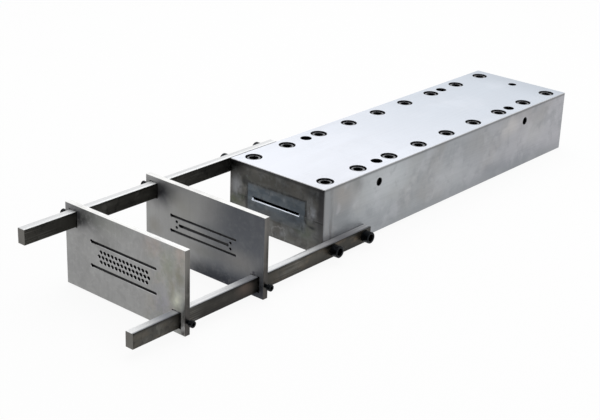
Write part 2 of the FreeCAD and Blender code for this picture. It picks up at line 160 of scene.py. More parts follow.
class Bench:
    """Adds nodes to one tree. An input takes a number, a colour or another node's output."""

    def __init__(self, owner):
        """Starts on a group's tree, or on the emptied tree of a material or a world."""
        self.tree = owner
        if not isinstance(owner, bpy.types.NodeTree):
            owner.use_nodes = True
            owner.node_tree.nodes.clear()
            self.tree = owner.node_tree

    def add(self, kind, inputs=None, **settings):
        node = self.tree.nodes.new(kind)
        for name, value in settings.items():
            setattr(node, name, value)
        for name, value in (inputs or {}).items():
            self.feed(node.inputs[name], value)
        return node

    def feed(self, socket, value):
        if isinstance(value, bpy.types.NodeSocket):
            self.tree.links.new(value, socket)
        elif socket.type == "RGBA" and len(value) == 3:
            socket.default_value = (*value, 1)
        else:
            socket.default_value = value

    def math(self, operation, first, second=0.0):
        inputs = {0: first, 1: second}
        return self.add("ShaderNodeMath", inputs, operation=operation).outputs[0]

    def times(self, product, *factors):
        for factor in factors:
            product = self.math("MULTIPLY", product, factor)
        return product

    def shaken(self, value, noise, reach):
        """The value pushed up and down by noise, by half the reach at most."""
        push = self.times(self.math("SUBTRACT", noise, HALF), reach)
        return self.math("ADD", value, push)

    def vector(self, operation, first, second=(0, 0, 0), output=0):
        inputs = {0: first, 1: second}
        return self.add("ShaderNodeVectorMath", inputs, operation=operation).outputs[output]

    def split(self, vector):
        return self.add("ShaderNodeSeparateXYZ", {0: vector}).outputs

    def mix(self, share, first, second):
        """A colour between first and second."""
        inputs = {0: share, 6: first, 7: second}
        return self.add("ShaderNodeMix", inputs, data_type="RGBA").outputs[2]

    def ramp(self, value, low, high, first=0.0, last=1.0):
        """first below low, last above high, and smooth between them."""
        inputs = {"Value": value, 1: low, 2: high, 3: first, 4: last}
        node = self.add("ShaderNodeMapRange", inputs, interpolation_type="SMOOTHSTEP")
        return node.outputs[0]

    def fall(self, value, low, high, first=1.0):
        """first below low, 0 above high, and smooth between them."""
        return self.ramp(value, low, high, first, 0.0)

    def noise(self, vector, scale, detail=3.0, roughness=0.5, distortion=0.0):
        inputs = {"Vector": vector, "Scale": scale, "Detail": detail}
        inputs.update({"Roughness": roughness, "Distortion": distortion})
        return self.add("ShaderNodeTexNoise", inputs).outputs[0]

    def group(self, tree, **inputs):
        """A shader node group with its values. Input names have _ for each space."""
        node = self.add("ShaderNodeGroup", node_tree=tree)
        for name, value in inputs.items():
            self.feed(node.inputs[name.replace("_", " ")], value)
        return node.outputs


# Effects that several finishes share

FINE_SHARE = 0.6
WAVINESS = 0.2
RAGGED = 0.5
OUTLINE_SOFTNESS = 4 * MILLIMETRE


def new_group(name, inputs, *outputs):
    """A group that reads a Vector and the inputs given with their defaults."""
    tree = bpy.data.node_groups.new(name, "ShaderNodeTree")
    for label, default in {"Vector": (0, 0, 0), **inputs}.items():
        kind = "NodeSocketVector" if isinstance(default, tuple) else "NodeSocketFloat"
        socket = tree.interface.new_socket(name=label, in_out="INPUT", socket_type=kind)
        socket.default_value = default
    for label in outputs:
        tree.interface.new_socket(name=label, in_out="OUTPUT", socket_type="NodeSocketFloat")
    bench = Bench(tree)
    return bench, bench.add("NodeGroupInput").outputs, bench.add("NodeGroupOutput").inputs


def make_grain():
    """Fine grinding lines: noise drawn out along the way that the stone or the brush moved."""
    lines = {"Lines per metre": (900, 12, 900)}
    bench, source, result = new_group("Grinding lines", lines, "Line", "Height")
    drawn = bench.vector("MULTIPLY", source["Vector"], source["Lines per metre"])
    fine = bench.noise(drawn, scale=1.0, detail=4.0, roughness=0.65, distortion=WAVINESS)
    coarse = bench.noise(drawn, scale=0.23, detail=2.0, distortion=WAVINESS)
    both = bench.math("ADD", bench.times(fine, FINE_SHARE), bench.times(coarse, 1 - FINE_SHARE))
    bench.feed(result["Line"], bench.ramp(both, 0.3, 0.7))
    bench.feed(result["Height"], fine)
    return bench.tree


def make_patches():
    """Soft uneven patches, as handling, oil and rust protection leave on ground steel."""
    shape = {"Offset": (0, 0, 0), "Scale": 8.0, "Low": 0.4, "High": 0.65}
    bench, source, result = new_group("Patches", shape, "Mask")
    moved = bench.vector("ADD", source["Vector"], source["Offset"])
    cloud = bench.noise(moved, source["Scale"], detail=4.0, roughness=0.55, distortion=0.4)
    bench.feed(result["Mask"], bench.ramp(cloud, source["Low"], source["High"]))
    return bench.tree


def make_scratches():
    """Sparse thin scratches that run nearly the same way."""
    shape = {"Lines per metre": (400, 5, 400), "Share": 0.04}
    bench, source, result = new_group("Scratches", shape, "Mask")
    drawn = bench.vector("MULTIPLY", source["Vector"], source["Lines per metre"])
    line = bench.noise(drawn, scale=1.0, detail=1.0, roughness=0.4, distortion=0.15)
    ridge = bench.math("ABSOLUTE", bench.math("SUBTRACT", line, HALF))
    sharp = bench.fall(ridge, 0.0, source["Share"])
    where = bench.ramp(bench.noise(source["Vector"], scale=9.0, detail=2.0), 0.52, 0.66)
    bench.feed(result["Mask"], bench.times(sharp, where))
    return bench.tree


def make_edge_wear():
    """How near a point is to the edges of an upright box, with a ragged border."""
    shape = {"Low": (0, 0, 0), "High": (1, 1, 1), "Width": 0.002}
    bench, source, result = new_group("Edge wear", shape, "Mask")
    place = source["Vector"]
    from_low = bench.vector("SUBTRACT", place, source["Low"])
    from_high = bench.vector("SUBTRACT", source["High"], place)
    x, y, z = bench.split(bench.vector("MINIMUM", from_low, from_high))
    first, second, third = (bench.math("MAXIMUM", *pair) for pair in ((x, y), (y, z), (x, z)))
    nearest = bench.math("MINIMUM", bench.math("MINIMUM", first, second), third)
    rough = bench.noise(place, scale=160.0, roughness=0.6)
    width = bench.times(source["Width"], bench.shaken(1.0, rough, RAGGED))
    bench.feed(result["Mask"], bench.fall(nearest, 0.0, width))
    return bench.tree


def make_outline():
    """A soft-edged rectangle seen along Y, and the line round it."""
    shape = {"Centre": (0, 0, 0), "Half size": (0.1, 1, 0.1), "Wobble": 0.0}
    bench, source, result = new_group("Stain outline", shape, "Fill", "Line")
    offset = bench.vector("SUBTRACT", source["Vector"], source["Centre"])
    outside = bench.vector("SUBTRACT", bench.vector("ABSOLUTE", offset), source["Half size"])
    x, _, z = bench.split(outside)
    noise = bench.noise(source["Vector"], scale=60.0, roughness=0.6)
    reach = bench.shaken(bench.math("MAXIMUM", x, z), noise, source["Wobble"])
    bench.feed(result["Fill"], bench.fall(reach, -OUTLINE_SOFTNESS, 0.0))
    bench.feed(result["Line"], bench.fall(bench.math("ABSOLUTE", reach), 0.0, OUTLINE_SOFTNESS))
    return bench.tree


def make_ragged_mark():
    """A ragged mark, for stains and painted shade alike: 1 at its middle and 0 beyond its reach,
    which is given along each axis.
    """
    shape = {"Centre": (0, 0, 0), "Reach": (1, 1, 1), "Softness": 0.0}
    shape.update({"Shake": 0.03, "Shake scale": 24.0})
    bench, source, result = new_group("Ragged mark", shape, "Mask")
    waves = {"Vector": source["Vector"], "Scale": source["Shake scale"], "Detail": 4.0}
    noise = bench.add("ShaderNodeTexNoise", waves).outputs["Color"]
    push = bench.vector("SUBTRACT", noise, (HALF, HALF, HALF))
    push = bench.vector("MULTIPLY", push, source["Shake"])
    offset = bench.vector("SUBTRACT", source["Vector"], source["Centre"])
    share = bench.vector("DIVIDE", bench.vector("ADD", offset, push), source["Reach"])
    far = bench.vector("LENGTH", share, output="Value")
    bench.feed(result["Mask"], bench.fall(far, source["Softness"], 1.0))
    return bench.tree


GROUPS = {}


def make_groups():
    """Builds each shared effect once."""
    GROUPS["grain"] = make_grain()
    GROUPS["patches"] = make_patches()
    GROUPS["scratches"] = make_scratches()
    GROUPS["edge_wear"] = make_edge_wear()
    GROUPS["outline"] = make_outline()
    GROUPS["ragged_mark"] = make_ragged_mark()


# Finishes. A zone is a pair of places, in metres, between which a colour comes or goes.

MATERIALS = {}
ALONG = (900, 10, 900)
ACROSS = (10, 900, 900)
UPRIGHT = (900, 900, 14)
GRAIN_RELIEF = 0.03 * MILLIMETRE


class Finish(Bench):
    """A metal finish, built up layer by layer over the Object coordinates."""

    def __init__(self, name, first, metallic=1.0):
        MATERIALS[name] = bpy.data.materials.new(name)
        super().__init__(MATERIALS[name])
        self.place = self.add("ShaderNodeTexCoord").outputs["Object"]
        self.x, self.y, self.z = self.split(self.place)
        self.inputs = {"Base Color": first, "Metallic": metallic}

    def effect(self, name, **inputs):
        """The outputs of a shared effect."""
        return self.group(GROUPS[name], Vector=self.place, **inputs)

    def streaks(self, stretch, scale, detail=4.0, roughness=0.65):
        """Noise drawn out along the axes whose stretch is small."""
        drawn = self.vector("MULTIPLY", self.place, stretch)
        return self.noise(drawn, scale, detail, roughness)

    def lay(self, share, over, strength=1.0):
        """Lays a colour over the finish where share is 1."""
        if strength != 1.0:
            share = self.times(share, strength)
        self.inputs["Base Color"] = self.mix(share, self.inputs["Base Color"], over)

    def fade(self, along, zone, over, strength=1.0):
        """Lays a colour that grows along a value, from the zone's first place to its last."""
        self.lay(self.ramp(along, *zone, 0.0, strength), over)

    def clouds(self, *rows):
        """Lays patches: colour, patches per metre, low and high limit, strength and offset."""
        for over, scale, low, high, strength, *offset in rows:
            shape = {"Scale": scale, "Low": low, "High": high}
            if offset:
                shape["Offset"] = offset[0]
            self.lay(self.effect("patches", **shape)["Mask"], over, strength)

    def ragged_mark(self, centre, reach, **shape):
        """Where a ragged mark lies."""
        return self.effect("ragged_mark", Centre=centre, Reach=reach, **shape)["Mask"]

    def mark(self, placed_marks, within=1.0, **shape):
        """Lays one ragged mark for each middle, reach, colour and strength, stains and painted
        shade alike.
        """
        for centre, reach, over, strength in placed_marks:
            mask = self.ragged_mark(centre, reach, **shape)
            if within != 1.0:
                mask = self.times(mask, within)
            self.lay(mask, over, strength)

    def scratch(self, lines, share, over, strength):
        mask = self.effect("scratches", Lines_per_metre=lines, Share=share)["Mask"]
        self.lay(mask, over, strength)

    def wear(self, box, width, over, strength):
        """A different colour along the edges of the piece's own box."""
        low, high = box
        self.lay(self.effect("edge_wear", Low=low, High=high, Width=width)["Mask"], over, strength)

    def grain(self, lines, over, strength, roughness, spread, bump):
        """Grinding lines: a second colour, an uneven gloss and a fine relief."""
        out = self.effect("grain", Lines_per_metre=lines)
        self.lay(out["Line"], over, strength)
        gloss = (roughness - spread, roughness + spread)
        self.inputs["Roughness"] = self.ramp(out["Line"], 0.0, 1.0, *gloss)
        relief = {"Height": out["Height"], "Strength": bump, "Distance": GRAIN_RELIEF}
        self.inputs["Normal"] = self.add("ShaderNodeBump", relief).outputs[0]

    def done(self):
        """Ends the finish with its shader and output."""
        shader = self.add("ShaderNodeBsdfPrincipled", self.inputs)
        self.add("ShaderNodeOutputMaterial", {"Surface": shader.outputs[0]})


def scaled(tone, factor):
    return tuple(min(1.0, part * factor) for part in tone)


def on_end(y, rows):
    """Marks, stains and painted shade alike, on a face that looks along Y, with their places and
    reaches in millimetres.
    """
    for across, up, wide, high, over, strength in rows:
        centre = (across * MILLIMETRE, y, up * MILLIMETRE)
        yield centre, (wide * MILLIMETRE, 1, high * MILLIMETRE), over, strength


def on_side(x, thick, rows):
    """Marks, stains and painted shade alike, on a face that looks along X, in millimetres from the
    entry face and the base.
    """
    for along, up, wide, high, over, strength in rows:
        centre = (x, ENTRY_Y + along * MILLIMETRE, up * MILLIMETRE)
        yield centre, (thick, wide * MILLIMETRE, high * MILLIMETRE), over, strength


TOP_FAR = (ENTRY_Y - 0.1, EXIT_Y)
TOP_LAST = (EXIT_Y - 0.1, EXIT_Y)
TOP_NEAR = (ENTRY_Y, ENTRY_Y + 0.3)
TOP_RIGHT = (-0.03, HALF_WIDTH)


def ground_top(colours):
    """The ground top of the block: painted bright as a reflection of the sky, a little bluer and
    darker towards the exit.
    """
    near = colours.top_near
    far = colours.top_far
    finish = Finish("ground_top", near)
    finish.fade(finish.y, TOP_FAR, far)
    finish.fade(finish.y, TOP_LAST, scaled(far, 0.88))
    near_right = finish.times(finish.ramp(finish.x, *TOP_RIGHT), finish.fall(finish.y, *TOP_NEAR))
    finish.lay(near_right, scaled(near, 0.88))
    finish.clouds(
        (scaled(near, 0.9), 5.0, 0.4, 0.7, 0.12),
        (scaled(near, 1.08), 9.0, 0.5, 0.75, 0.2, (3, 1, 0)),
    )
    finish.grain(ALONG, scaled(far, 0.86), 0.12, roughness=0.36, spread=0.05, bump=0.25)
    finish.scratch((5, 500, 500), 0.03, scaled(far, 0.7), 0.15)
    finish.done()


BROWNED = (0.27, 0.25, 0.222)
SIDE_MARKS = (
    # place and height, their reaches, colour and strength of each patch of the right side
    (200, 108, 170, 85, (0.47, 0.492, 0.51), 0.9),
    (420, 60, 120, 55, (0.43, 0.44, 0.46), 0.75),
    (530, 105, 80, 50, (0.31, 0.315, 0.32), 0.7),
    (665, 110, 60, 35, (0.52, 0.505, 0.5), 0.7),
    (770, 70, 70, 45, (0.46, 0.46, 0.47), 0.6),
    (690, 12, 260, 45, (0.24, 0.253, 0.28), 0.85),
    (60, 115, 55, 55, (0.31, 0.295, 0.28), 0.85),
    (103, 124, 22, 32, (0.21, 0.215, 0.215), 0.75),
)
WIPED = (
    # start, end and colour of each band wiped down the side next to the entry face
    (0.002, 0.019, (0.305, 0.305, 0.31)),
    (0.019, 0.03, (0.185, 0.183, 0.187)),
    (0.03, 0.036, (0.32, 0.32, 0.315)),
)
BAND_EDGE = 4 * MILLIMETRE
BAND_SWAY = 20 * MILLIMETRE
BAND_HEIGHT = (0.03, 0.11)
SIDE_FAR = (ENTRY_Y + 0.3, EXIT_Y - 0.1)
SIDE_NEAR = (ENTRY_Y + 0.07, ENTRY_Y + 0.1)
SIDE_UPPER = (0.035, 0.08)
SIDE_CORNER = (ENTRY_Y + 0.007, ENTRY_Y)
SIDE_FOOT = (0.03, 0.004)
SIDE_RIM = (TOP_Z - 0.0075, TOP_Z - 0.0035)
SIDE_WEAR = 1.2 * MILLIMETRE


def ground_side(colours):
    """The block's ground sides, with handling patches and wiped bands near the entry."""
    near = colours.side_near
    far = colours.side_far
    finish = Finish("ground_side", near)
    finish.fade(finish.y, SIDE_FAR, far)
    finish.clouds(
        (BROWNED, 6.0, 0.46, 0.66, 0.35),
        (scaled(near, 0.8), 17.0, 0.46, 0.7, 0.4, (1, 7, 3)),
    )
    upper = finish.ramp(finish.z, *SIDE_UPPER, 0.2, 0.8)
    finish.lay(finish.times(finish.fall(finish.y, *SIDE_NEAR), upper), scaled(near, 0.7))
    finish.mark(on_side(HALF_WIDTH, 1, SIDE_MARKS))
    sway = finish.streaks((1, 1, 0.45), 60.0, detail=3.0, roughness=0.5)
    along = finish.shaken(finish.y, sway, BAND_SWAY)
    low_down = finish.ramp(finish.z, *BAND_HEIGHT, 0.9, 0.35)
    for start, end, tone in WIPED:
        begins = finish.ramp(along, ENTRY_Y + start, ENTRY_Y + start + BAND_EDGE)
        ends = finish.fall(along, ENTRY_Y + end - BAND_EDGE, ENTRY_Y + end)
        finish.lay(finish.times(begins, ends, low_down), tone)
    finish.clouds(
        (scaled(far, 1.25), 22.0, 0.5, 0.7, 0.32, (2, 2, 9)),
        (scaled(near, 0.75), 36.0, 0.5, 0.7, 0.38, (6, 2, 4)),
    )
    finish.fade(finish.y, SIDE_CORNER, (0.16, 0.16, 0.165), 0.75)
    finish.fade(finish.z, SIDE_FOOT, scaled(near, 0.8), 0.5)
    finish.wear((lower_low, upper_high), SIDE_WEAR, far, 0.4)
    # A painted dark line of shade just under the top edge.
    finish.fade(finish.z, SIDE_RIM, (0.12, 0.125, 0.13), 0.6)
    finish.grain(ALONG, scaled(near, 0.75), 0.1, roughness=0.42, spread=0.04, bump=0.12)
    finish.scratch((500, 6, 500), 0.03, scaled(far, 1.3), 0.12)
    finish.done()


ENTRY_MARKS = (
    # place and height, their reaches, colour and strength of each mark on the entry face
    # painted shadow of the left rail in the upper left corner
    (-125, 132, 75, 56, (0.006, 0.006, 0.006), 1.0),
    (-40, 114, 100, 28, (0.068, 0.066, 0.06), 0.8),
    (-107, 50, 30, 20, (0.08, 0.092, 0.056), 0.7),
    (-92, 64, 22, 10, (0.035, 0.04, 0.026), 0.95),
    (-84, 100, 12, 16, (0.026, 0.027, 0.024), 0.9),
    (105, 126, 45, 22, (0.036, 0.038, 0.042), 0.8),
    (45, 54, 45, 16, (0.05, 0.06, 0.075), 0.75),
    (50, 28, 35, 18, (0.058, 0.06, 0.06), 0.8),
    (0, 126, 80, 20, (0.07, 0.066, 0.06), 0.6),
    (108, 60, 20, 50, (0.09, 0.09, 0.095), 0.6),
    (-30, 50, 50, 12, (0.075, 0.078, 0.08), 0.6),
)
DARK_RUN = (0.022, 0.024, 0.027)
DARK_RUNS = (
    # the same for each narrow dark run beside the seat
    (83, 70, 6, 30, DARK_RUN, 0.85),
    (-79, 62, 5, 30, DARK_RUN, 0.7),
    (74, 45, 5, 14, DARK_RUN, 0.8),
    (96, 53, 17, 6, DARK_RUN, 0.9),
)
SMEAR = (0.26, 0.27, 0.29)
SMEARS = (
    # the same for each lighter smear beside and above the cavity
    (-106, 84, 22, 32, SMEAR, 0.6),
    (90, 105, 13, 18, SMEAR, 1.0),
    (90, 85, 10, 30, SMEAR, 1.0),
    (100, 83, 12, 26, SMEAR, 1.0),
    (23, 90, 10, 8, SMEAR, 0.6),
    (-14, 94, 18, 7, SMEAR, 0.5),
    (22, 18, 12, 12, SMEAR, 0.6),
)
SEAT_CENTRE = (0.001, ENTRY_Y, PARTING_Z - 0.001)
SEAT_HALF_SIZE = (0.078, 1, 0.0335)
CAVITY_CENTRE = (0, ENTRY_Y, PARTING_Z)
CAVITY_SHADE = (0.066, 1, 0.006)
SEAT_UPPER = (0.03, PARTING_Z)
RING_CENTRE = (0.012, ENTRY_Y, 0.01)
RING_REACH = (0.022, 1, 0.022)
RING_HOLLOW = (0.0195, 1, 0.0195)
ENTRY_RIGHT = (0.107, 0.116)
ENTRY_RIGHT_UPPER = (0.03, 0.09)
ENTRY_RIM = (TOP_Z - 0.01, TOP_Z - 0.005)


def entry_face(colours):
    """The face round the cavity, darkened partly by heat and resin and partly by painted shade,
    with the marks of a wiped seat.
    """
    finish = Finish("entry_face", colours.entry)
    finish.clouds(
        ((0.15, 0.145, 0.132), 16.0, 0.42, 0.68, 0.5),
        ((0.055, 0.052, 0.044), 11.0, 0.5, 0.7, 0.6, (2, 0, 5)),
        ((0.09, 0.115, 0.088), 21.0, 0.48, 0.72, 0.5, (4, 0, 3)),
    )
    seat = finish.effect("outline", Centre=SEAT_CENTRE, Half_size=SEAT_HALF_SIZE, Wobble=0.007)
    upper = finish.ramp(finish.z, *SEAT_UPPER, 0.3, 0.9)
    blued = finish.times(seat["Fill"], upper)
    finish.lay(blued, (0.106, 0.127, 0.148))
    finish.lay(finish.times(seat["Line"], upper), (0.022, 0.025, 0.03), 0.95)
    finish.mark(on_end(ENTRY_Y, ENTRY_MARKS))
    streaked = finish.ramp(finish.streaks((1, 1, 0.3), 70.0), 0.36, 0.58)
    across = finish.ramp(finish.streaks((0.3, 1, 1), 85.0), 0.44, 0.6)
    finish.lay(finish.times(across, blued), (0.05, 0.065, 0.082), 0.6)
    finish.mark(on_end(ENTRY_Y, DARK_RUNS), Shake=0.01, Shake_scale=50.0)
    ragged = {"Softness": 0.1, "Shake": 0.006, "Shake_scale": 80.0}
    finish.mark(on_end(ENTRY_Y, SMEARS), streaked, **ragged)
    finish.clouds(
        ((0.19, 0.2, 0.205), 34.0, 0.5, 0.74, 0.4, (7, 0, 2)),
        ((0.04, 0.04, 0.042), 52.0, 0.5, 0.72, 0.5, (1, 0, 8)),
        ((0.16, 0.17, 0.17), 90.0, 0.5, 0.7, 0.3, (5, 0, 6)),
    )
    right_upper = finish.ramp(finish.z, *ENTRY_RIGHT_UPPER, 0.35, 0.75)
    right_edge = finish.times(finish.ramp(finish.x, *ENTRY_RIGHT), right_upper)
    finish.lay(right_edge, (0.036, 0.036, 0.041))
    # A painted dark line of shade just under the top edge.
    finish.fade(finish.z, ENTRY_RIM, (0.03, 0.03, 0.033), 0.6)
    parting_line(finish)
    swirl = {"Softness": 0.8, "Shake": 0.03, "Shake_scale": 75.0}
    ring = finish.ragged_mark(RING_CENTRE, RING_REACH, **swirl)
    hollow = finish.ragged_mark(RING_CENTRE, RING_HOLLOW, **swirl)
    finish.lay(finish.math("SUBTRACT", ring, hollow), (0.28, 0.28, 0.28), 0.55)
    shade = finish.effect("outline", Centre=CAVITY_CENTRE, Half_size=CAVITY_SHADE)["Fill"]
    finish.lay(shade, (0.04, 0.05, 0.07), 0.5)
    finish.grain(ACROSS, (0.2, 0.2, 0.2), 0.08, roughness=0.42, spread=0.08, bump=0.2)
    finish.done()


LINE_Z = PARTING_Z - 3 * MILLIMETRE
LINE_WIDTH = 2.6 * MILLIMETRE
LINE_WAVE = 6 * MILLIMETRE
BESIDE_SEAT = (0.074, 0.084)


def parting_line(finish):
    """The broken dark line between the two halves, on both sides of the seat."""
    height = finish.shaken(finish.z, finish.noise(finish.place, 45.0), LINE_WAVE)
    off_line = finish.math("ABSOLUTE", finish.math("SUBTRACT", height, LINE_Z))
    beside = finish.ramp(finish.math("ABSOLUTE", finish.x), *BESIDE_SEAT)
    dashes = finish.ramp(finish.noise(finish.place, 30.0, 2.0), 0.42, 0.52, 0.15, 0.75)
    share = finish.times(finish.fall(off_line, 0.0, LINE_WIDTH), beside, dashes)
    finish.lay(share, (0.025, 0.025, 0.024))


PLAIN_STEELS = {
    # colour, roughness, lines per metre, spread of the roughness and strength of the lines
    "worn_edge": ((0.5, 0.5, 0.51), 0.3),
    # the block's holes and their threads, near black as painted shade
    "oily_bore": ((0.02, 0.02, 0.021), 0.3, (400, 400, 40)),
    # walls of the plates' slots and holes and of the sockets, near black as painted shade
    "slot_wall": ((0.004, 0.004, 0.0045), 0.5, (400, 40, 400)),
    # walls inside the cavity, near black as painted shade
    "cavity_wall": ((0.016, 0.018, 0.021), 0.2),
    # the cavity's polished lower lip, painted bright as a highlight
    "polished_lip": ((0.84, 0.9, 1.0), 0.15, ACROSS, 0.02, 0.02),
    # the plates' top edges, painted bright as a highlight
    "plate_top_edge": ((0.85, 0.85, 0.84), 0.3, ACROSS, 0.05, 0.1),
    # upward lips of the plates' holes and slots, lighter as a painted highlight
    "front_plate_lip": ((0.5, 0.5, 0.51), 0.3),
    "rear_plate_lip": ((0.16, 0.165, 0.175), 0.3),
    "sawn_rail_end": ((0.14, 0.135, 0.125), 0.45, (900, 900, 60)),
    "rubbed_head_top": ((0.2, 0.205, 0.22), 0.3, UPRIGHT),
    # the dowel pins, darkened as painted shade of their deep holes
    "ground_pin": ((0.09, 0.09, 0.095), 0.25, (900, 900, 60)),
}


def plain_steel(name, tone, roughness, lines=ALONG, spread=0.05, strength=0.3):
    """A small area of steel in one tone, with grinding lines and faint patches."""
    finish = Finish(name, tone)
    finish.clouds((scaled(tone, 0.7), 30.0, 0.45, 0.7, 0.5))
    finish.grain(lines, scaled(tone, 1.5), strength, roughness, spread, bump=0.3)
    finish.done()


PLATE_WEAR = 1.4 * MILLIMETRE


def plate_face(end, colours, tint, mottle):
    """A ground guide plate's wide face: patches, then its tints, then a fine mottle."""
    tone = colours.plate
    finish = Finish(f"{end}_plate_face", tone, 0.75)
    finish.clouds(
        (scaled(tone, 1.15), 16.0, 0.45, 0.7, 0.4),
        (scaled(tone, 0.85), 9.0, 0.45, 0.68, 0.4, (4, 4, 4)),
    )
    tint(finish)
    finish.clouds(
        (scaled(tone, 1.3), 34.0, 0.5, 0.7, mottle * 0.7, (5, 1, 5)),
        (scaled(tone, 0.72), 58.0, 0.48, 0.66, mottle, (1, 1, 9)),
        (scaled(tone, 1.35), 120.0, 0.5, 0.68, mottle * 0.7, (2, 8, 3)),
    )
    finish.grain(UPRIGHT, scaled(tone, 0.7), 0.05, roughness=0.5, spread=0.03, bump=0.05)
    finish.scratch((600, 600, 8), 0.03, scaled(tone, 1.6), 0.1)
    finish.wear(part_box(f"{end}_guide_plate"), PLATE_WEAR, (0.5, 0.5, 0.49), 0.2)
    finish.done()


FRONT_MARKS = (
    # place and height, their reaches, colour and strength of each mark on the front plate
    # painted shade and dark reflection of the left rail
    (-113, 136, 80, 42, (0.043, 0.045, 0.053), 0.95),
    (-50, 145, 100, 40, (0.23, 0.24, 0.215), 0.5),
    (-45, 100, 45, 30, (0.22, 0.22, 0.215), 0.8),
    (75, 140, 30, 35, (0.36, 0.31, 0.29), 0.7),
    (115, 112, 25, 50, (0.265, 0.285, 0.225), 0.7),
    (142, 147, 18, 30, (0.42, 0.355, 0.315), 0.8),
    (142, 98, 20, 42, (0.225, 0.215, 0.165), 0.85),
    (122, 70, 14, 45, (0.255, 0.24, 0.185), 0.7),
    (137, 50, 21, 34, (0.58, 0.59, 0.49), 0.9),
    (-130, 30, 50, 45, (0.28, 0.28, 0.28), 0.8),
    (100, 35, 30, 40, (0.3, 0.29, 0.345), 0.6),
    (0, 75, 110, 30, (0.42, 0.42, 0.43), 0.35),
    # painted shade and dark reflection of the right rail's side, on the strip beside its window
    (173, 50, 14, 75, (0.1, 0.09, 0.078), 0.85),
    (149, -7, 8, 8, (0.025, 0.022, 0.02), 0.95),
    # painted shade in the gap beside the right rail
    (155.5, 30, 6, 45, (0.05, 0.047, 0.042), 0.9),
)
FRONT_RIGHT = (0.04, 0.09)


def front_plate_tints(finish):
    """Pink, green and beige stains towards the right edge, and painted shade and dark reflection
    beside both rails.
    """
    right = finish.ramp(finish.x, *FRONT_RIGHT)
    patch = finish.ramp(finish.noise(finish.place, 30.0, 4.0, 0.6), 0.44, 0.6)
    finish.lay(finish.times(right, patch), (0.4, 0.36, 0.32), 0.45)
    finish.mark(on_end(FRONT_Y, FRONT_MARKS))
    mottle = finish.ramp(finish.noise(finish.place, 55.0, 4.0, 0.6), 0.46, 0.62)
    finish.lay(finish.times(right, mottle), (0.24, 0.255, 0.215), 0.4)


REAR_MARKS = (
    # place and height, their reaches, colour and strength of each mark on the rear plate
    # painted shade and dark reflection of the left rail
    (-118, 124, 75, 38, (0.045, 0.047, 0.055), 0.95),
    (-60, 110, 50, 40, (0.3, 0.295, 0.255), 0.4),
    (-130, 50, 30, 30, (0.26, 0.25, 0.225), 0.7),
    (90, 47, 100, 42, (0.235, 0.231, 0.227), 0.9),
    (0, 40, 60, 20, (0.22, 0.222, 0.205), 0.5),
    (20, 85, 70, 16, (0.17, 0.178, 0.19), 0.6),
    # painted shadow in the window's gap above the right rail
    (133, 37, 6, 5, (0.03, 0.025, 0.045), 0.9),
    (147, -8, 30, 35, (0.006, 0.006, 0.006), 1.0),
    # painted shade and dark reflection of the right rail's side, on the strip beside its window
    (173, 55, 12, 45, (0.03, 0.03, 0.033), 0.8),
)
REAR_SLANT = -0.3
REAR_RIGHT = (-0.06, 0.05)
REAR_FOOT = (-0.008, 0.03)
REAR_FOOT_RIGHT = (-0.08, 0.0)


def rear_plate_tints(finish):
    """Bluer and darker to the right and along the foot, with painted shade and dark reflection
    beside both rails.
    """
    slant = finish.math("ADD", finish.x, finish.times(finish.z, REAR_SLANT))
    right = finish.ramp(slant, *REAR_RIGHT)
    finish.lay(right, (0.103, 0.113, 0.134), 0.9)
    finish.mark(on_end(REAR_Y, REAR_MARKS))
    foot = finish.fall(finish.z, *REAR_FOOT)
    foot = finish.times(foot, finish.ramp(finish.x, *REAR_FOOT_RIGHT))
    finish.lay(foot, (0.012, 0.015, 0.025), 0.95)


PLATE_TOP_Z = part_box("front_guide_plate")[1].z
PLATE_SIDE_TOP = (0.075, PLATE_TOP_Z - 0.02)
PLATE_SIDE_FOOT = (0.09, 0.04)
# Shares of the plate's thickness between which its rear corner darkens
REAR_CORNER = (0.3, 0.6)


def plate_side(end, upper):
    """A plate's narrow side: grey at its top, darker towards its foot and its rear corner."""
    low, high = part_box(f"{end}_guide_plate")
    finish = Finish(f"{end}_plate_side", (0.1, 0.095, 0.09))
    rear = [low.y + (high.y - low.y) * share for share in REAR_CORNER]
    finish.fade(finish.y, rear, (0.04, 0.037, 0.035), 0.9)
    finish.clouds(((0.2, 0.195, 0.185), 60.0, 0.5, 0.7, 0.4))
    finish.fade(finish.z, PLATE_SIDE_TOP, (0.19, 0.185, 0.175), upper)
    finish.fade(finish.z, PLATE_SIDE_FOOT, (0.04, 0.036, 0.034), 0.75)
    finish.grain(UPRIGHT, (0.16, 0.155, 0.145), 0.2, roughness=0.4, spread=0.06, bump=0.3)
    finish.done()


RAIL_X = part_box("right_rail")[1].x
RAIL_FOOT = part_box("right_rail")[0].z
RAIL_SIDE_MARKS = (
    # place and height, their reaches, colour and strength of each mark on the right rail's side
    # painted shade between the plates
    (-300, 10, 140, 1000, (0.018, 0.017, 0.015), 0.75),
    (-240, 22, 35, 30, (0.085, 0.06, 0.05), 0.8),
    (-80, 10, 130, 1000, (0.12, 0.11, 0.092), 0.35),
)
RAIL_TOP_PAINTED_SHADE = (
    # the same for the painted shade and reflection of the plates and the block on the right rail's
    # top
    (-430, 30, 50, 1000, (0.4, 0.42, 0.47), 0.9),
    (-225, 30, 60, 1000, (0.36, 0.37, 0.41), 0.95),
    (50, 30, 140, 1000, (0.19, 0.185, 0.2), 1.0),
)
RAIL_SIDES = (-0.05, 0.05)
RAIL_FREE_END = (-0.94, -0.84)
RAIL_RUSTY = (-0.68, -0.6)
RAIL_BETWEEN = (-0.86, -0.82)
RAIL_LOWER = (RAIL_FOOT, RAIL_FOOT + 0.02)
RAIL_TOPS = (TOP_Z, 0.03)
RAIL_RIM = (-0.006, 0.0)


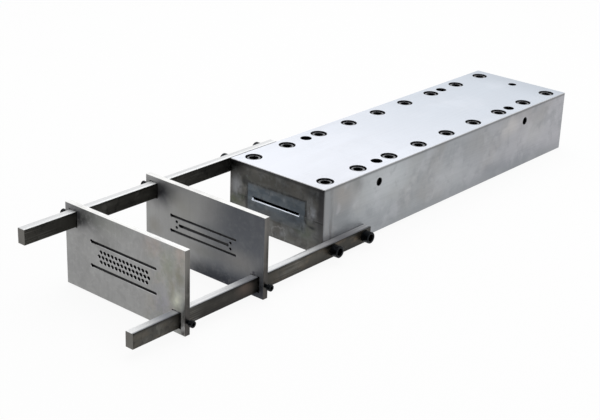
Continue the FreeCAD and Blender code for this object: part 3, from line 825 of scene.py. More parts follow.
def rail_side(colours):
    """Dark rolled bar with brown patches, lighter at the right rail's two ends, with painted shade
    between the plates and along the right rail's foot.
    """
    finish = Finish("rail_side", colours.rail)
    finish.clouds(
        ((0.075, 0.062, 0.048), 18.0, 0.46, 0.66, 0.6),
        ((0.012, 0.012, 0.012), 12.0, 0.5, 0.7, 0.5, (3, 3, 3)),
    )
    on_right = finish.ramp(finish.x, *RAIL_SIDES)
    finish.lay(finish.fall(finish.x, *RAIL_SIDES), (0.075, 0.073, 0.065), 0.75)
    free_end = finish.fall(finish.y, *RAIL_FREE_END)
    free_end = finish.times(free_end, finish.ramp(on_right, 0.0, 1.0, 0.35, 0.75))
    finish.lay(free_end, (0.072, 0.071, 0.065))
    rust = finish.ramp(finish.streaks((1, 0.35, 1), 60.0), 0.5, 0.66)
    rust = finish.times(rust, on_right, finish.ramp(finish.y, *RAIL_RUSTY, 0.15, 0.5))
    finish.lay(rust, (0.17, 0.125, 0.08))
    finish.clouds(
        ((0.16, 0.16, 0.145), 50.0, 0.54, 0.7, 0.4, (8, 1, 2)),
        ((0.015, 0.014, 0.013), 70.0, 0.5, 0.68, 0.55, (1, 6, 2)),
    )
    finish.mark(on_side(RAIL_X, 0.05, RAIL_SIDE_MARKS))
    # Painted shade along the right rail's foot, behind the front plate.
    lower = finish.fall(finish.z, *RAIL_LOWER, 0.75)
    lower = finish.times(lower, on_right, finish.ramp(finish.y, *RAIL_BETWEEN))
    finish.lay(lower, (0.008, 0.008, 0.008))
    under = finish.math("SUBTRACT", finish.z, finish.ramp(on_right, 0.0, 1.0, *RAIL_TOPS))
    finish.fade(under, RAIL_RIM, (0.01, 0.01, 0.011), 0.75)
    finish.grain((420, 8, 420), (0.1, 0.098, 0.09), 0.25, roughness=0.4, spread=0.08, bump=0.3)
    finish.scratch((500, 6, 500), 0.06, (0.26, 0.26, 0.24), 0.35)
    finish.done()


LEFT_OUTER = (-RAIL_X + 0.014, -RAIL_X + 0.008)
RIGHT_OUTER = (RAIL_X - 0.005, RAIL_X - 0.002)
BLOCK_SHADE_ALONG = (-0.6, -0.48)
BLOCK_SHADE_ACROSS = (0.0, 0.1)


def rail_top(colours):
    """Rubbed bright and painted brighter as a reflection of the sky; on the right rail, painted
    shade in front of each plate and towards the block.
    """
    tone = colours.rail_top
    finish = Finish("rail_top", tone, 0.35)
    finish.clouds((scaled(tone, 0.75), 20.0, 0.45, 0.7, 0.25))
    finish.mark(on_side(RAIL_X, 0.08, RAIL_TOP_PAINTED_SHADE))
    finish.fade(finish.x, LEFT_OUTER, scaled(tone, 0.76))
    finish.fade(finish.x, RIGHT_OUTER, (0.12, 0.13, 0.16), 0.8)
    line = finish.ramp(finish.streaks((260, 3, 260), 1.0, 2.0, 0.6), 0.5, 0.7)
    finish.lay(line, scaled(tone, 0.62), 0.45)
    # Painted shade near the block, laid along the rail's streaks.
    along = finish.ramp(finish.y, *BLOCK_SHADE_ALONG)
    across = finish.ramp(finish.x, *BLOCK_SHADE_ACROSS)
    finish.lay(finish.times(line, along, across), (0.07, 0.075, 0.09), 0.7)
    finish.grain(ALONG, scaled(tone, 0.6), 0.15, roughness=0.45, spread=0.06, bump=0.2)
    finish.scratch((700, 6, 700), 0.04, (0.25, 0.25, 0.25), 0.3)
    finish.done()


def black_oxide(colours):
    """Blackened steel: deep grey, oily, with a little bare metal showing."""
    finish = Finish("black_oxide", colours.oxide, 0.9)
    finish.clouds(((0.014, 0.018, 0.021), 220.0, 0.55, 0.75, 0.5))
    lines = (1500, 1500, 1500)
    finish.grain(lines, (0.008, 0.01, 0.012), 0.4, roughness=0.34, spread=0.1, bump=0.3)
    finish.done()


def make_materials(colours):
    """Builds every finish once."""
    for build in (ground_top, ground_side, entry_face, rail_side, rail_top, black_oxide):
        build(colours)
    for name, values in PLAIN_STEELS.items():
        plain_steel(name, *values)
    plate_face("front", colours, front_plate_tints, mottle=0.32)
    plate_face("rear", colours, rear_plate_tints, mottle=0.09)
    plate_side("front", upper=0.75)
    plate_side("rear", upper=0.45)


# Modelling helpers

ROUND = 48


def deselect():
    for item in bpy.context.view_layer.objects:
        item.select_set(False)


def take(piece):
    """Makes one piece the only selected and active one."""
    deselect()
    piece.hide_set(False)
    piece.select_set(True)
    bpy.context.view_layer.objects.active = piece


def edit_all(piece):
    take(piece)
    bpy.ops.object.mode_set(mode="EDIT")
    bpy.ops.mesh.select_all(action="SELECT")


def leave_edit():
    bpy.ops.object.mode_set(mode="OBJECT")


def pick(piece, mode, wanted):
    """In edit mode, selects the vertices, edges or faces for which wanted(element) holds."""
    bpy.ops.mesh.select_mode(type=mode)
    bpy.ops.mesh.select_all(action="DESELECT")
    mesh = bmesh.from_edit_mesh(piece.data)
    elements = {"VERT": mesh.verts, "EDGE": mesh.edges, "FACE": mesh.faces}[mode]
    for element in elements:
        if wanted(element):
            element.select_set(True)
    mesh.select_flush_mode()
    bmesh.update_edit_mesh(piece.data)


def apply_modifier(piece, kind, **settings):
    take(piece)
    modifier = piece.modifiers.new(kind.lower(), kind)
    for name, value in settings.items():
        setattr(modifier, name, value)
    bpy.ops.object.modifier_apply(modifier=modifier.name)


def smooth(piece, degrees=30):
    take(piece)
    bpy.ops.object.shade_smooth_by_angle(angle=math.radians(degrees))


def paint(piece, choose):
    """Gives each face the finish that choose(centre, normal) names."""
    faces = piece.data.polygons
    chosen = [choose(face.center, face.normal) for face in faces]
    names = sorted(set(chosen))
    piece.data.materials.clear()
    for name in names:
        piece.data.materials.append(MATERIALS[name])
    for face, name in zip(faces, chosen):
        face.material_index = names.index(name)


def all_in(name):
    """A choice that gives every face the same finish."""
    return lambda centre, normal: name


COPLANAR = math.radians(0.3)
SHARP = math.radians(50)


def dressed_copy(node, edge, segments=2, countersink=0.0):
    """A copy of a CAD node, its flat faces joined, its sharp edges broken and its holes opened."""
    source = frame["nodes"][node]
    piece = bpy.data.objects.new(f"{node}_dressed", source.data.copy())
    bpy.context.scene.collection.objects.link(piece)
    edit_all(piece)
    bpy.ops.mesh.customdata_custom_splitnormals_clear()
    bpy.ops.mesh.remove_doubles(threshold=SAME_PLACE / 4)
    bpy.ops.mesh.dissolve_limited(angle_limit=COPLANAR)
    if countersink:
        open_mouths(piece, *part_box(node), countersink)
    leave_edit()
    apply_modifier(
        piece,
        "BEVEL",
        width=edge,
        segments=segments,
        limit_method="ANGLE",
        angle_limit=SHARP,
        use_clamp_overlap=True,
    )
    smooth(piece)
    apply_modifier(piece, "WEIGHTED_NORMAL", mode="FACE_AREA", keep_sharp=True)
    return piece


def is_hole_wall(face, low, high):
    """A face of the wall of a hole or slot in the middle of a plate, away from its windows."""
    middle = face.calc_center_median()
    inside = low.x + PLATE_BORDER_X < middle.x < high.x - PLATE_BORDER_X
    inside = inside and low.z + PLATE_BORDER_Z < middle.z < high.z - PLATE_BORDER_Z
    return inside and abs(face.normal.y) < 1 - FLAT


def open_mouths(piece, low, high, size):
    """In edit mode, countersinks a plate's holes and slots at both of its wide faces."""
    pick(piece, "FACE", lambda face: abs(face.normal.y) > FLAT)
    bpy.ops.mesh.quads_convert_to_tris(ngon_method="BEAUTY")
    for level in (low.y + size, high.y - size):
        pick(piece, "FACE", lambda face: is_hole_wall(face, low, high))
        bpy.ops.mesh.bisect(plane_co=(0, level, 0), plane_no=(0, 1, 0))
    mesh = bmesh.from_edit_mesh(piece.data)
    for vertex in mesh.verts:
        at_face = min(vertex.co.y - low.y, high.y - vertex.co.y) < SAME_PLACE
        walls = [face.normal for face in vertex.link_faces if is_hole_wall(face, low, high)]
        if at_face and walls:
            inwards = sum(walls, Vector()).normalized()
            steepest = min(inwards.dot(wall) for wall in walls)
            vertex.co -= inwards * size / steepest
    bmesh.update_edit_mesh(piece.data)


def settle(piece, body, slot, *nodes):
    """The piece moves with a body and stands for its nodes. Its slot is not used."""
    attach(piece, body)
    if nodes:
        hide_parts(*nodes)


def add_primitive(name, add, low, high, **sizes):
    """Adds a round primitive from height low to high, with its place in its mesh."""
    deselect()
    add(depth=high - low, location=(0, 0, (low + high) / 2), **sizes)
    piece = bpy.context.object
    bpy.ops.object.transform_apply(location=True, rotation=True, scale=True)
    piece.name = name
    return piece


def add_cylinder(name, radius, low, high, vertices=ROUND):
    add = bpy.ops.mesh.primitive_cylinder_add
    return add_primitive(name, add, low, high, radius=radius, vertices=vertices)


def add_cone(name, low_radius, high_radius, low, high):
    add = bpy.ops.mesh.primitive_cone_add
    radii = {"radius1": low_radius, "radius2": high_radius}
    return add_primitive(name, add, low, high, vertices=ROUND, **radii)


def cut(piece, cutter):
    """Takes the cutter's shape out of the piece."""
    apply_modifier(piece, "BOOLEAN", operation="DIFFERENCE", object=cutter, solver="EXACT")
    bpy.data.objects.remove(cutter)


def merge(pieces, name):
    """Joins several objects into one."""
    deselect()
    for piece in pieces:
        piece.select_set(True)
    bpy.context.view_layer.objects.active = pieces[0]
    bpy.ops.object.join()
    pieces[0].name = name
    return pieces[0]


THREAD_STEPS = 24
THREAD_FLANK = 0.46
THREAD_FLAT = 0.07


def sweep_thread(name, root, crest, pitch, low, turns):
    """A helical thread ridge between two radii. A crest below the root makes an inner thread."""
    deselect()
    bpy.ops.mesh.primitive_plane_add(size=1)
    piece = bpy.context.object
    piece.name = name
    flank = pitch * THREAD_FLANK
    flat = pitch * THREAD_FLAT
    section = ((root, -flank), (crest, -flat), (root, flank), (crest, flat))
    for vertex, (radius, height) in zip(piece.data.vertices, section):
        vertex.co = (radius, 0, low + height)
    edit_all(piece)
    bpy.ops.mesh.delete(type="ONLY_FACE")
    leave_edit()
    apply_modifier(
        piece,
        "SCREW",
        angle=math.tau,
        screw_offset=pitch,
        iterations=turns,
        steps=THREAD_STEPS,
        render_steps=THREAD_STEPS,
        axis="Z",
        use_normal_calculate=False,
    )
    edit_all(piece)
    bpy.ops.mesh.fill_holes(sides=4)
    bpy.ops.mesh.select_all(action="SELECT")
    bpy.ops.mesh.normals_make_consistent(inside=False)
    leave_edit()
    return piece


def put_copy(pattern, name, place, turn):
    """A copy of a piece with its own mesh, turned about its own origin and set in place."""
    piece = bpy.data.objects.new(name, pattern.data.copy())
    bpy.context.scene.collection.objects.link(piece)
    piece.data.transform(Matrix.Translation(place) @ turn)
    piece.data.name = name
    return piece


# The pieces


CHAMFERED = 1.6 * MILLIMETRE
CAVITY_ZONE = Vector((70, 0, 7)) * MILLIMETRE
PARTING_ZONE = 0.4 * MILLIMETRE


def outer_face(centre, normal):
    """The finish of a face in one of the block's six outer planes, or none."""
    upright = abs(normal.z) > FLAT
    if upright and centre.z > TOP_Z - SAME_PLACE:
        return "ground_top"
    if normal.y < -FLAT and centre.y < ENTRY_Y + SAME_PLACE:
        return "entry_face"
    at_base = upright and centre.z < SAME_PLACE
    at_exit = normal.y > FLAT and centre.y > EXIT_Y - SAME_PLACE
    at_side = abs(normal.x) > FLAT and abs(centre.x) > HALF_WIDTH - SAME_PLACE
    return "ground_side" if at_base or at_exit or at_side else None


def block_face(centre, normal):
    """The finish of one face of a die half."""
    outer = outer_face(centre, normal)
    if outer:
        return outer
    from_parting = abs(centre.z - PARTING_Z)
    if from_parting < CAVITY_ZONE.z and abs(centre.x) < CAVITY_ZONE.x:
        # Past the lead-in the walls take painted shade; the lead-in's lower half takes a painted
        # highlight and its upper half the dark entry finish as painted shade.
        if centre.y > ENTRY_Y + LEAD_IN:
            return "cavity_wall"
        return "polished_lip" if centre.z < PARTING_Z else "entry_face"
    at_height = min(abs(TOP_Z - centre.z), abs(centre.z)) < CHAMFERED
    at_side = HALF_WIDTH - abs(centre.x) < CHAMFERED
    at_entry = centre.y - ENTRY_Y < CHAMFERED
    if at_side and at_entry:
        return "entry_face"
    if at_height + at_side + (at_entry or EXIT_Y - centre.y < CHAMFERED) > 1:
        return "worn_edge"
    return "ground_side" if from_parting < PARTING_ZONE else "oily_bore"


class PULTRUSION_OT_dress_block(bpy.types.Operator):
    """Breaks the edges of both die halves and gives each face its finish"""

    bl_idname = "pultrusion.dress_block"
    bl_label = "Dress the die halves"

    def execute(self, context):
        for node in ("upper_die_half", "lower_die_half"):
            piece = dressed_copy(node, context.scene.die_edges.block_edge, segments=1)
            paint(piece, block_face)
            settle(piece, "die", "die_steel", node)
        return {"FINISHED"}


# Shares of a head's rounded edge: the ends of its grooves, its lower bevel and the tip's bevel
GROOVE_START = 0.6
GROOVE_END = 0.4
LOWER_BEVEL = 0.4
TIP_BEVEL = 0.5
# Share of a head's radius outside which its ribs lie
RIB_ZONE = 0.9
# Shares of a socket's corner radius: the radius and depth of its drill point
DRILL_SHARE = 0.8
DRILL_POINT = 0.3
# The core's sides, the thread's depth in pitches and its most length in thread diameters
CORE_SIDES = 32
THREAD_DEPTH = 0.6
THREAD_LENGTH = 2.6
# Share of the core's radius where a ridge starts, and the pitches besides its turns that
# the plain shank leaves free
RIDGE_SUNK = 0.995
FREE_PITCHES = 1.5
# Angle in degrees up to which a screw's faces are shaded smooth
SCREW_SMOOTH = 32


class SocketScrew:
    """One kind of socket head screw. Its sizes are given in millimetres and kept in metres."""

    def __init__(self, pitch, ribs, **sizes):
        self.pitch = pitch
        self.ribs = ribs
        for name, size in sizes.items():
            setattr(self, name, size * MILLIMETRE)
        self.corner = self.socket / math.sqrt(3)


# Sizes in millimetres of the M20, M16 and M8 screws, and the knurl's share on the smallest
SCREW_SIZES = ("thread", "shank", "head", "rise", "edge", "socket", "socket_depth", "mouth")
CAP_SCREW = dict(zip(SCREW_SIZES, (20, 80, 30, 20, 1.6, 17, 10, 0.4)))
RAIL_BOLT = dict(zip(SCREW_SIZES, (16, 40, 24, 16, 1.2, 14, 8, 0.4)))
CLAMP_SCREW = dict(zip(SCREW_SIZES, (8, 20, 13, 8, 0.8, 6, 4, 0.3)))
SHALLOWER = 0.7


def model_head(screw, knurl):
    """A ribbed round head with a hexagon socket, standing on height 0."""
    radius = screw.head / 2
    head = add_cylinder("head", radius, 0, screw.rise, screw.ribs * 2)
    edit_all(head)
    rim = screw.rise - screw.edge
    pick(head, "FACE", lambda face: face.normal.z > FLAT)
    bpy.ops.mesh.bevel(offset=screw.edge, segments=3, affect="EDGES")
    band = (screw.edge * GROOVE_START, rim - screw.edge * GROOVE_END)
    for height in band:
        bpy.ops.mesh.select_all(action="SELECT")
        bpy.ops.mesh.bisect(plane_co=(0, 0, height), plane_no=(0, 0, 1))
    step = math.tau / (screw.ribs * 2)

    def in_groove(vertex):
        number = round(math.atan2(vertex.co.y, vertex.co.x) / step)
        inside = band[0] - SAME_PLACE < vertex.co.z < band[1] + SAME_PLACE
        return inside and number % 2 == 1 and vertex.co.xy.length > radius * RIB_ZONE

    pick(head, "VERT", in_groove)
    shrink = 1 - knurl / radius
    bpy.ops.transform.resize(value=(shrink, shrink, 1), center_override=(0, 0, 0))
    pick(head, "FACE", lambda face: face.normal.z < -FLAT)
    bpy.ops.mesh.bevel(offset=screw.edge * LOWER_BEVEL, segments=1, affect="EDGES")
    leave_edit()
    open_socket(head, screw)
    return head


def open_socket(head, screw):
    """Cuts a hexagon socket with a bevelled mouth and a drill point into a head."""
    floor = screw.rise - screw.socket_depth
    cut(head, add_cylinder("hexagon", screw.corner, floor, screw.rise + screw.corner, 6))
    wide = screw.corner + screw.mouth
    half = wide / 2
    cut(head, add_cone("mouth", half, wide + half, screw.rise - half, screw.rise + half))
    drilled = screw.corner * DRILL_SHARE
    point = floor - screw.corner * DRILL_POINT
    cut(head, add_cone("drill_point", 0, drilled, point, floor + SAME_PLACE))


def model_screw(name, screw, knurl):
    """A whole screw along Z, with the underside of its head at height 0."""
    head = model_head(screw, knurl)
    outer = screw.thread / 2
    root = outer - screw.pitch * THREAD_DEPTH
    tip = -screw.shank
    core = add_cylinder("core", root, tip, SAME_PLACE, CORE_SIDES)
    edit_all(core)
    pick(core, "FACE", lambda face: face.normal.z < -FLAT)
    bpy.ops.mesh.bevel(offset=screw.edge * TIP_BEVEL, segments=1, affect="EDGES")
    leave_edit()
    threaded = min(screw.shank - screw.pitch, screw.thread * THREAD_LENGTH)
    turns = int(threaded / screw.pitch) - 1
    sunk = root * RIDGE_SUNK
    ridge = sweep_thread("ridge", sunk, outer, screw.pitch, tip + screw.pitch, turns)
    parts = [head, core, ridge]
    plain = screw.shank - (turns + FREE_PITCHES) * screw.pitch
    if plain > screw.pitch:
        parts.append(add_cylinder("plain_shank", outer, -plain, 0))
    whole = merge(parts, name)
    smooth(whole, SCREW_SMOOTH)
    return whole


def screw_face(screw):
    """The finish of a screw's faces: rubbed on top of its head, painted shade in its socket, or
    black.
    """

    def choose(centre, normal):
        if normal.z > FLAT and centre.z > screw.rise - SAME_PLACE:
            return "rubbed_head_top"
        in_socket = centre.z > screw.rise - screw.socket_depth * 2
        if in_socket and centre.xy.length < screw.corner + screw.mouth:
            return "slot_wall"
        return "black_oxide"

    return choose


QUARTER = math.pi / 2
UNTURNED = Matrix.Identity(4)
TURNS = {
    "left": Matrix.Rotation(-QUARTER, 4, "Y"),
    "right": Matrix.Rotation(QUARTER, 4, "Y"),
}


def seat(node, side=None, rise=0.0):
    """The middle of the underside of a screw's head, worked out from its node's box."""
    low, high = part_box(node)
    middle = (low + high) / 2
    if side is None:
        middle.z = high.z - rise
    elif side == "left":
        middle.x = low.x + rise
    else:
        middle.x = high.x - rise
    return middle


def place_screws(pattern, nodes, side, rise, body, seed):
    """One copy of the pattern at each node, each turned by chance as a driven screw is."""
    chance = random.Random(seed)
    for node in nodes:
        spin = Matrix.Rotation(chance.uniform(0, math.tau), 4, "Z")
        turn = TURNS[side] @ spin if side else spin
        piece = put_copy(pattern, f"{node}_dressed", seat(node, side, rise), turn)
        settle(piece, body, "black_oxide", node)


def set_screws(name, screw, knurl, choose, groups):
    """Models one screw and sets its copies. A group has nodes, a side, a body and a seed."""
    pattern = model_screw(name, screw, knurl)
    paint(pattern, choose)
    for nodes, side, body, seed in groups:
        place_screws(pattern, nodes, side, screw.rise, body, seed)
    bpy.data.objects.remove(pattern)


class PULTRUSION_OT_add_cap_screws(bpy.types.Operator):
    """Models one M20 cap screw and sets a copy in each counterbore"""

    bl_idname = "pultrusion.add_cap_screws"
    bl_label = "Add the cap screws"

    def execute(self, context):
        fasteners = context.scene.die_fasteners
        screw = SocketScrew(fasteners.cap_pitch, ribs=40, **CAP_SCREW)
        nodes = [f"cap_screw_{side}_{number}" for side in SIDES for number in CAP_ROW]
        groups = [(nodes, None, "die", 11)]
        knurl = fasteners.knurl_depth
        set_screws("cap_screw_pattern", screw, knurl, screw_face(screw), groups)
        return {"FINISHED"}


PIN_SIDES = 64
PIN_BEVEL = 1.5 * MILLIMETRE
# Shares of a pin's radius: its drawing hole's radius and depth, and the radii and heights,
# from the pin's top, of the cone that opens the hole's mouth
DRAWING_RADIUS = 0.45
DRAWING_DEPTH = 2
PIN_MOUTH_RADII = (0.4, 0.7)
PIN_MOUTH_HEIGHTS = (-0.2, 0.1)


def model_dowel(low, high):
    """A dowel pin that fills a box: bevelled at both ends, with a drawing hole in its top."""
    radius = (high.x - low.x) / 2
    rise = high.z - low.z
    pin = add_cylinder("dowel_pattern", radius, 0, rise, PIN_SIDES)
    edit_all(pin)
    pick(pin, "FACE", lambda face: abs(face.normal.z) > FLAT)
    bpy.ops.mesh.bevel(offset=PIN_BEVEL, segments=2, affect="EDGES")
    leave_edit()
    bottom = rise - radius * DRAWING_DEPTH
    cut(pin, add_cylinder("drawing_hole", radius * DRAWING_RADIUS, bottom, rise + radius))
    radii = [radius * share for share in PIN_MOUTH_RADII]
    heights = [rise + radius * share for share in PIN_MOUTH_HEIGHTS]
    cut(pin, add_cone("mouth", *radii, *heights))
    smooth(pin)
    paint(pin, all_in("ground_pin"))
    return pin


class PULTRUSION_OT_add_dowel_pins(bpy.types.Operator):
    """Models a dowel pin with bevelled ends and a drawing hole, and sets the four of them"""

    bl_idname = "pultrusion.add_dowel_pins"
    bl_label = "Add the dowel pins"

    def execute(self, context):
        pattern = model_dowel(*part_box("dowel_pin_left_entry"))
        for side in SIDES:
            for end in MOUTHS:
                node = f"dowel_pin_{side}_{end}"
                low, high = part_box(node)
                foot = (low + high) / 2
                foot.z = low.z
                piece = put_copy(pattern, f"{node}_dressed", foot, UNTURNED)
                settle(piece, "die", "dowel_steel", node)
        bpy.data.objects.remove(pattern)
        return {"FINISHED"}


# Shares of a tapped hole's depth, radius and pitch: its thread's length, root and height
THREADED_SHARE = 0.8
IN_THE_WALL = 1.01
THREAD_HEIGHT = 0.54
# Pitches from the face to the thread's first turn
THREAD_INSET = 2


def model_hole_thread(mount, pitch):
    """The thread inside one tapped hole, along Z and ending at height 0."""
    radius = mount["dims"]["r_mm"] * MILLIMETRE
    depth = mount["dims"]["length_mm"] * MILLIMETRE * THREADED_SHARE
    crest = radius - pitch * THREAD_HEIGHT
    root = radius * IN_THE_WALL
    pattern = sweep_thread("hole_thread", root, crest, pitch, -depth, int(depth / pitch))
    smooth(pattern)
    paint(pattern, all_in("oily_bore"))
    return pattern


class PULTRUSION_OT_add_hole_threads(bpy.types.Operator):
    """Cuts the threads of the four lifting holes and of the probe hole"""

    bl_idname = "pultrusion.add_hole_threads"
    bl_label = "Add the tapped holes' threads"

    def execute(self, context):
        pitch = context.scene.die_fasteners.cap_pitch
        mounts = {mount["name"]: mount for mount in frame["record"]["mounts"]}
        probe = mounts["probe_hole"]
        pattern = model_hole_thread(probe, pitch)
        centre = Vector(probe["pos_m"])
        centre.z = TOP_Z - pitch * THREAD_INSET
        piece = put_copy(pattern, "probe_hole_thread", centre, UNTURNED)
        settle(piece, "die", "die_steel")
        bpy.data.objects.remove(pattern)
        pattern = model_hole_thread(mounts["right_lifting_hole_entry"], pitch)
        for side in SIDES:
            for end in MOUTHS:
                mount = mounts[f"{side}_lifting_hole_{end}"]
                centre = Vector(mount["pos_m"])
                centre.x = mount["axis"][0] * (HALF_WIDTH - pitch * THREAD_INSET)
                name = f"lifting_thread_{side}_{end}"
                piece = put_copy(pattern, name, centre, TURNS[side])
                settle(piece, "die", "die_steel")
        bpy.data.objects.remove(pattern)
        return {"FINISHED"}


ENDWAYS = 0.7


def rail_face(centre, normal):
    """The finish of one face of a rail."""
    if normal.z > FLAT:
        return "rail_top"
    return "sawn_rail_end" if abs(normal.y) > ENDWAYS else "rail_side"


class PULTRUSION_OT_dress_rails(bpy.types.Operator):
    """Breaks the rails' edges and gives their tops, sides and ends their finishes"""

    bl_idname = "pultrusion.dress_rails"
    bl_label = "Dress the rails"

    def execute(self, context):
        for node in ("left_rail", "right_rail"):
            piece = dressed_copy(node, context.scene.die_edges.rail_edge)
            paint(piece, rail_face)
            settle(piece, "die", "rail_steel", node)
        return {"FINISHED"}


class PULTRUSION_OT_add_rail_bolts(bpy.types.Operator):
    """Models one M16 rail bolt and sets the four of them"""

    bl_idname = "pultrusion.add_rail_bolts"
    bl_label = "Add the rail bolts"

    def execute(self, context):
        fasteners = context.scene.die_fasteners
        screw = SocketScrew(fasteners.rail_bolt_pitch, ribs=36, **RAIL_BOLT)
        groups = []
        for side, seed in (("left", 3), ("right", 5)):
            nodes = [f"rail_bolt_{side}_{end}" for end in ENDS]
            groups.append((nodes, side, "die", seed))
        knurl = fasteners.knurl_depth
        set_screws("rail_bolt_pattern", screw, knurl, all_in("black_oxide"), groups)
        return {"FINISHED"}


SLANTED = 0.2
UPWARDS = 0.5


def plate_finish(end, low, high):
    """The finish of a guide plate's faces."""

    def choose(centre, normal):
        if abs(normal.y) > FLAT:
            return f"{end}_plate_face"
        if normal.z > UPWARDS and centre.z > high.z - MILLIMETRE:
            return "plate_top_edge"
        outer = centre.x < low.x + MILLIMETRE or centre.x > high.x - MILLIMETRE
        if outer or centre.z < low.z + MILLIMETRE:
            return f"{end}_plate_side"
        # Lips that face upwards take a painted highlight, and the other walls of holes and slots
        # painted shade.
        lower_lip = abs(normal.y) > SLANTED and normal.z > 0
        return f"{end}_plate_lip" if lower_lip else "slot_wall"

    return choose


class PULTRUSION_OT_dress_guide_plates(bpy.types.Operator):
    """Countersinks the guide plates' holes and slots and gives their faces their finishes"""

    bl_idname = "pultrusion.dress_guide_plates"
    bl_label = "Dress the guide plates"

    def execute(self, context):
        edges = context.scene.die_edges
        for end in ENDS:
            node = f"{end}_guide_plate"
            piece = dressed_copy(node, edges.plate_edge, 1, edges.countersink)
            paint(piece, plate_finish(end, *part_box(node)))
            settle(piece, f"{end}_plate", "plate_steel", node)
        return {"FINISHED"}


class PULTRUSION_OT_add_clamp_screws(bpy.types.Operator):
    """Models one M8 clamp screw and sets one in each side edge of each guide plate"""

    bl_idname = "pultrusion.add_clamp_screws"
    bl_label = "Add the clamp screws"

    def execute(self, context):
        fasteners = context.scene.die_fasteners
        screw = SocketScrew(fasteners.clamp_pitch, ribs=28, **CLAMP_SCREW)
        groups = []
        for end in ENDS:
            for side, seed in (("left", 8), ("right", 9)):
                groups.append(([f"{end}_clamp_screw_{side}"], side, f"{end}_plate", seed))
        knurl = fasteners.knurl_depth * SHALLOWER
        set_screws("clamp_screw_pattern", screw, knurl, all_in("black_oxide"), groups)
        return {"FINISHED"}


# The stage


CAMERA_PLACE = Vector((1.6448, -2.33224, 1.1052))
CAMERA_FORWARD = Vector((-0.593399, 0.707052, -0.384648))
CAMERA_RIGHT = Vector((0.756274, 0.653356, 0.034277))
SENSOR_WIDTH = 36
FAR_CLIP = 100
WHITE = (1, 1, 1)
SHADING_LIGHT = 0.55
SOFT_LAMPS = (
    # name, place, aim, edge in metres, power in watts
    ("overhead_softbox", (-0.6, 0.6, 3.2), (0, -0.2, 0), 3.0, 62),
    ("right_softbox", (3.4, -0.6, 1.4), (0, 0, 0.05), 2.0, 14),
)


def directly_seen(bench):
    """1 for the rays of the camera, of reflections and of clear materials, or else 0."""
    rays = bench.add("ShaderNodeLightPath").outputs
    seen = bench.math("MAXIMUM", rays["Is Camera Ray"], rays["Is Glossy Ray"])
    return bench.math("MAXIMUM", seen, rays["Is Transmission Ray"])


def floor_material(stage):
    """A pale floor that the camera and reflections see as white, and that keeps its shadows."""
    material = bpy.data.materials.new("pale_floor")
    bench = Bench(material)
    floor = {"Base Color": stage.floor, "Roughness": 0.9, "Specular IOR Level": 0.1}
    matt = bench.add("ShaderNodeBsdfPrincipled", floor).outputs[0]
    white = bench.add("ShaderNodeEmission", {"Color": WHITE, "Strength": 1.0}).outputs[0]
    share = bench.times(directly_seen(bench), stage.floor_glow)
    mixed = bench.add("ShaderNodeMixShader", {0: share, 1: matt, 2: white}).outputs[0]
    bench.add("ShaderNodeOutputMaterial", {"Surface": mixed})
    return material


def add_floor(stage):
    """The floor touches the block's exit end and the rear plate's foot, as the tool rests."""
    plate_low, plate_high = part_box("rear_guide_plate")
    slope = math.atan2(lower_low.z - plate_low.z, lower_high.y - plate_high.y)
    deselect()
    bpy.ops.mesh.primitive_grid_add(
        x_subdivisions=2,
        y_subdivisions=2,
        size=stage.floor_size,
        location=(0, lower_high.y, -SAME_PLACE),
        rotation=(slope, 0, 0),
    )
    floor = bpy.context.object
    bpy.ops.object.transform_apply(location=True, rotation=True, scale=True)
    floor.name = "floor"
    floor.data.materials.append(floor_material(stage))


def light_world():
    """A white surrounding for the camera and reflections, and a softer one for shading."""
    world = bpy.data.worlds.new("studio")
    bpy.context.scene.world = world
    bench = Bench(world)
    strength = bench.ramp(directly_seen(bench), 0.0, 1.0, SHADING_LIGHT, 1.0)
    sky = bench.add("ShaderNodeBackground", {"Color": WHITE, "Strength": strength})
    bench.add("ShaderNodeOutputWorld", {"Surface": sky.outputs[0]})


def add_lamp(name, place, aim, edge, power):
    deselect()
    bpy.ops.object.light_add(type="AREA", location=place)
    lamp = bpy.context.object
    lamp.name = name
    lamp.data.shape = "SQUARE"
    lamp.data.size = edge
    lamp.data.energy = power
    aim_along = Vector(aim) - Vector(place)
    lamp.rotation_euler = aim_along.to_track_quat("-Z", "Y").to_euler()


def add_camera(stage):
    deselect()
    bpy.ops.object.camera_add(location=CAMERA_PLACE)
    camera = bpy.context.object
    camera.name = "photo_camera"
    upwards = CAMERA_RIGHT.cross(CAMERA_FORWARD).normalized()
    turn = Matrix((CAMERA_RIGHT, upwards, -CAMERA_FORWARD)).transposed()
    camera.rotation_euler = turn.to_euler()
    camera.data.lens = stage.lens
    camera.data.sensor_width = SENSOR_WIDTH
    camera.data.sensor_fit = "HORIZONTAL"
    camera.data.clip_end = FAR_CLIP
    bpy.context.scene.camera = camera


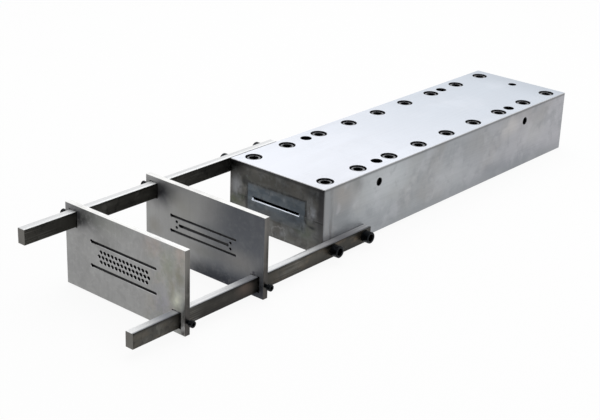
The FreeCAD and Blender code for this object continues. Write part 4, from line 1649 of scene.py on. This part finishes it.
class PULTRUSION_OT_set_stage(bpy.types.Operator):
    """Adds the pale floor, the soft lamps, the white surrounding and the camera"""

    bl_idname = "pultrusion.set_stage"
    bl_label = "Set the stage"

    def execute(self, context):
        stage = context.scene.die_stage
        add_floor(stage)
        light_world()
        for lamp in SOFT_LAMPS:
            add_lamp(*lamp)
        add_camera(stage)
        context.scene.view_settings.view_transform = "Standard"
        return {"FINISHED"}


class VIEW3D_PT_pultrusion_die(bpy.types.Panel):
    bl_label = "Pultrusion die"
    bl_space_type = "VIEW_3D"
    bl_region_type = "UI"
    bl_category = "Pultrusion die"

    def draw(self, context):
        layout = self.layout
        scene = context.scene
        for settings in (scene.die_edges, scene.die_fasteners, scene.die_colours, scene.die_stage):
            box = layout.box()
            for name in settings.__annotations__:
                box.prop(settings, name)
        for operator in OPERATORS:
            layout.operator(operator.bl_idname)


SETTINGS = {
    "die_edges": DieEdgeSettings,
    "die_fasteners": DieFastenerSettings,
    "die_colours": DieColourSettings,
    "die_stage": DieStageSettings,
}
OPERATORS = (
    PULTRUSION_OT_dress_block,
    PULTRUSION_OT_add_cap_screws,
    PULTRUSION_OT_add_dowel_pins,
    PULTRUSION_OT_add_hole_threads,
    PULTRUSION_OT_dress_rails,
    PULTRUSION_OT_add_rail_bolts,
    PULTRUSION_OT_dress_guide_plates,
    PULTRUSION_OT_add_clamp_screws,
    PULTRUSION_OT_set_stage,
)


def register():
    for name, settings in SETTINGS.items():
        bpy.utils.register_class(settings)
        setattr(bpy.types.Scene, name, bpy.props.PointerProperty(type=settings))
    for operator in OPERATORS:
        bpy.utils.register_class(operator)
    bpy.utils.register_class(VIEW3D_PT_pultrusion_die)


def unregister():
    bpy.utils.unregister_class(VIEW3D_PT_pultrusion_die)
    for operator in reversed(OPERATORS):
        bpy.utils.unregister_class(operator)
    for name, settings in SETTINGS.items():
        delattr(bpy.types.Scene, name)
        bpy.utils.unregister_class(settings)


def main():
    register()
    make_groups()
    make_materials(bpy.context.scene.die_colours)
    for operator in OPERATORS:
        group, action = operator.bl_idname.split(".")
        getattr(getattr(bpy.ops, group), action)()


if __name__ == "__main__":
    main()
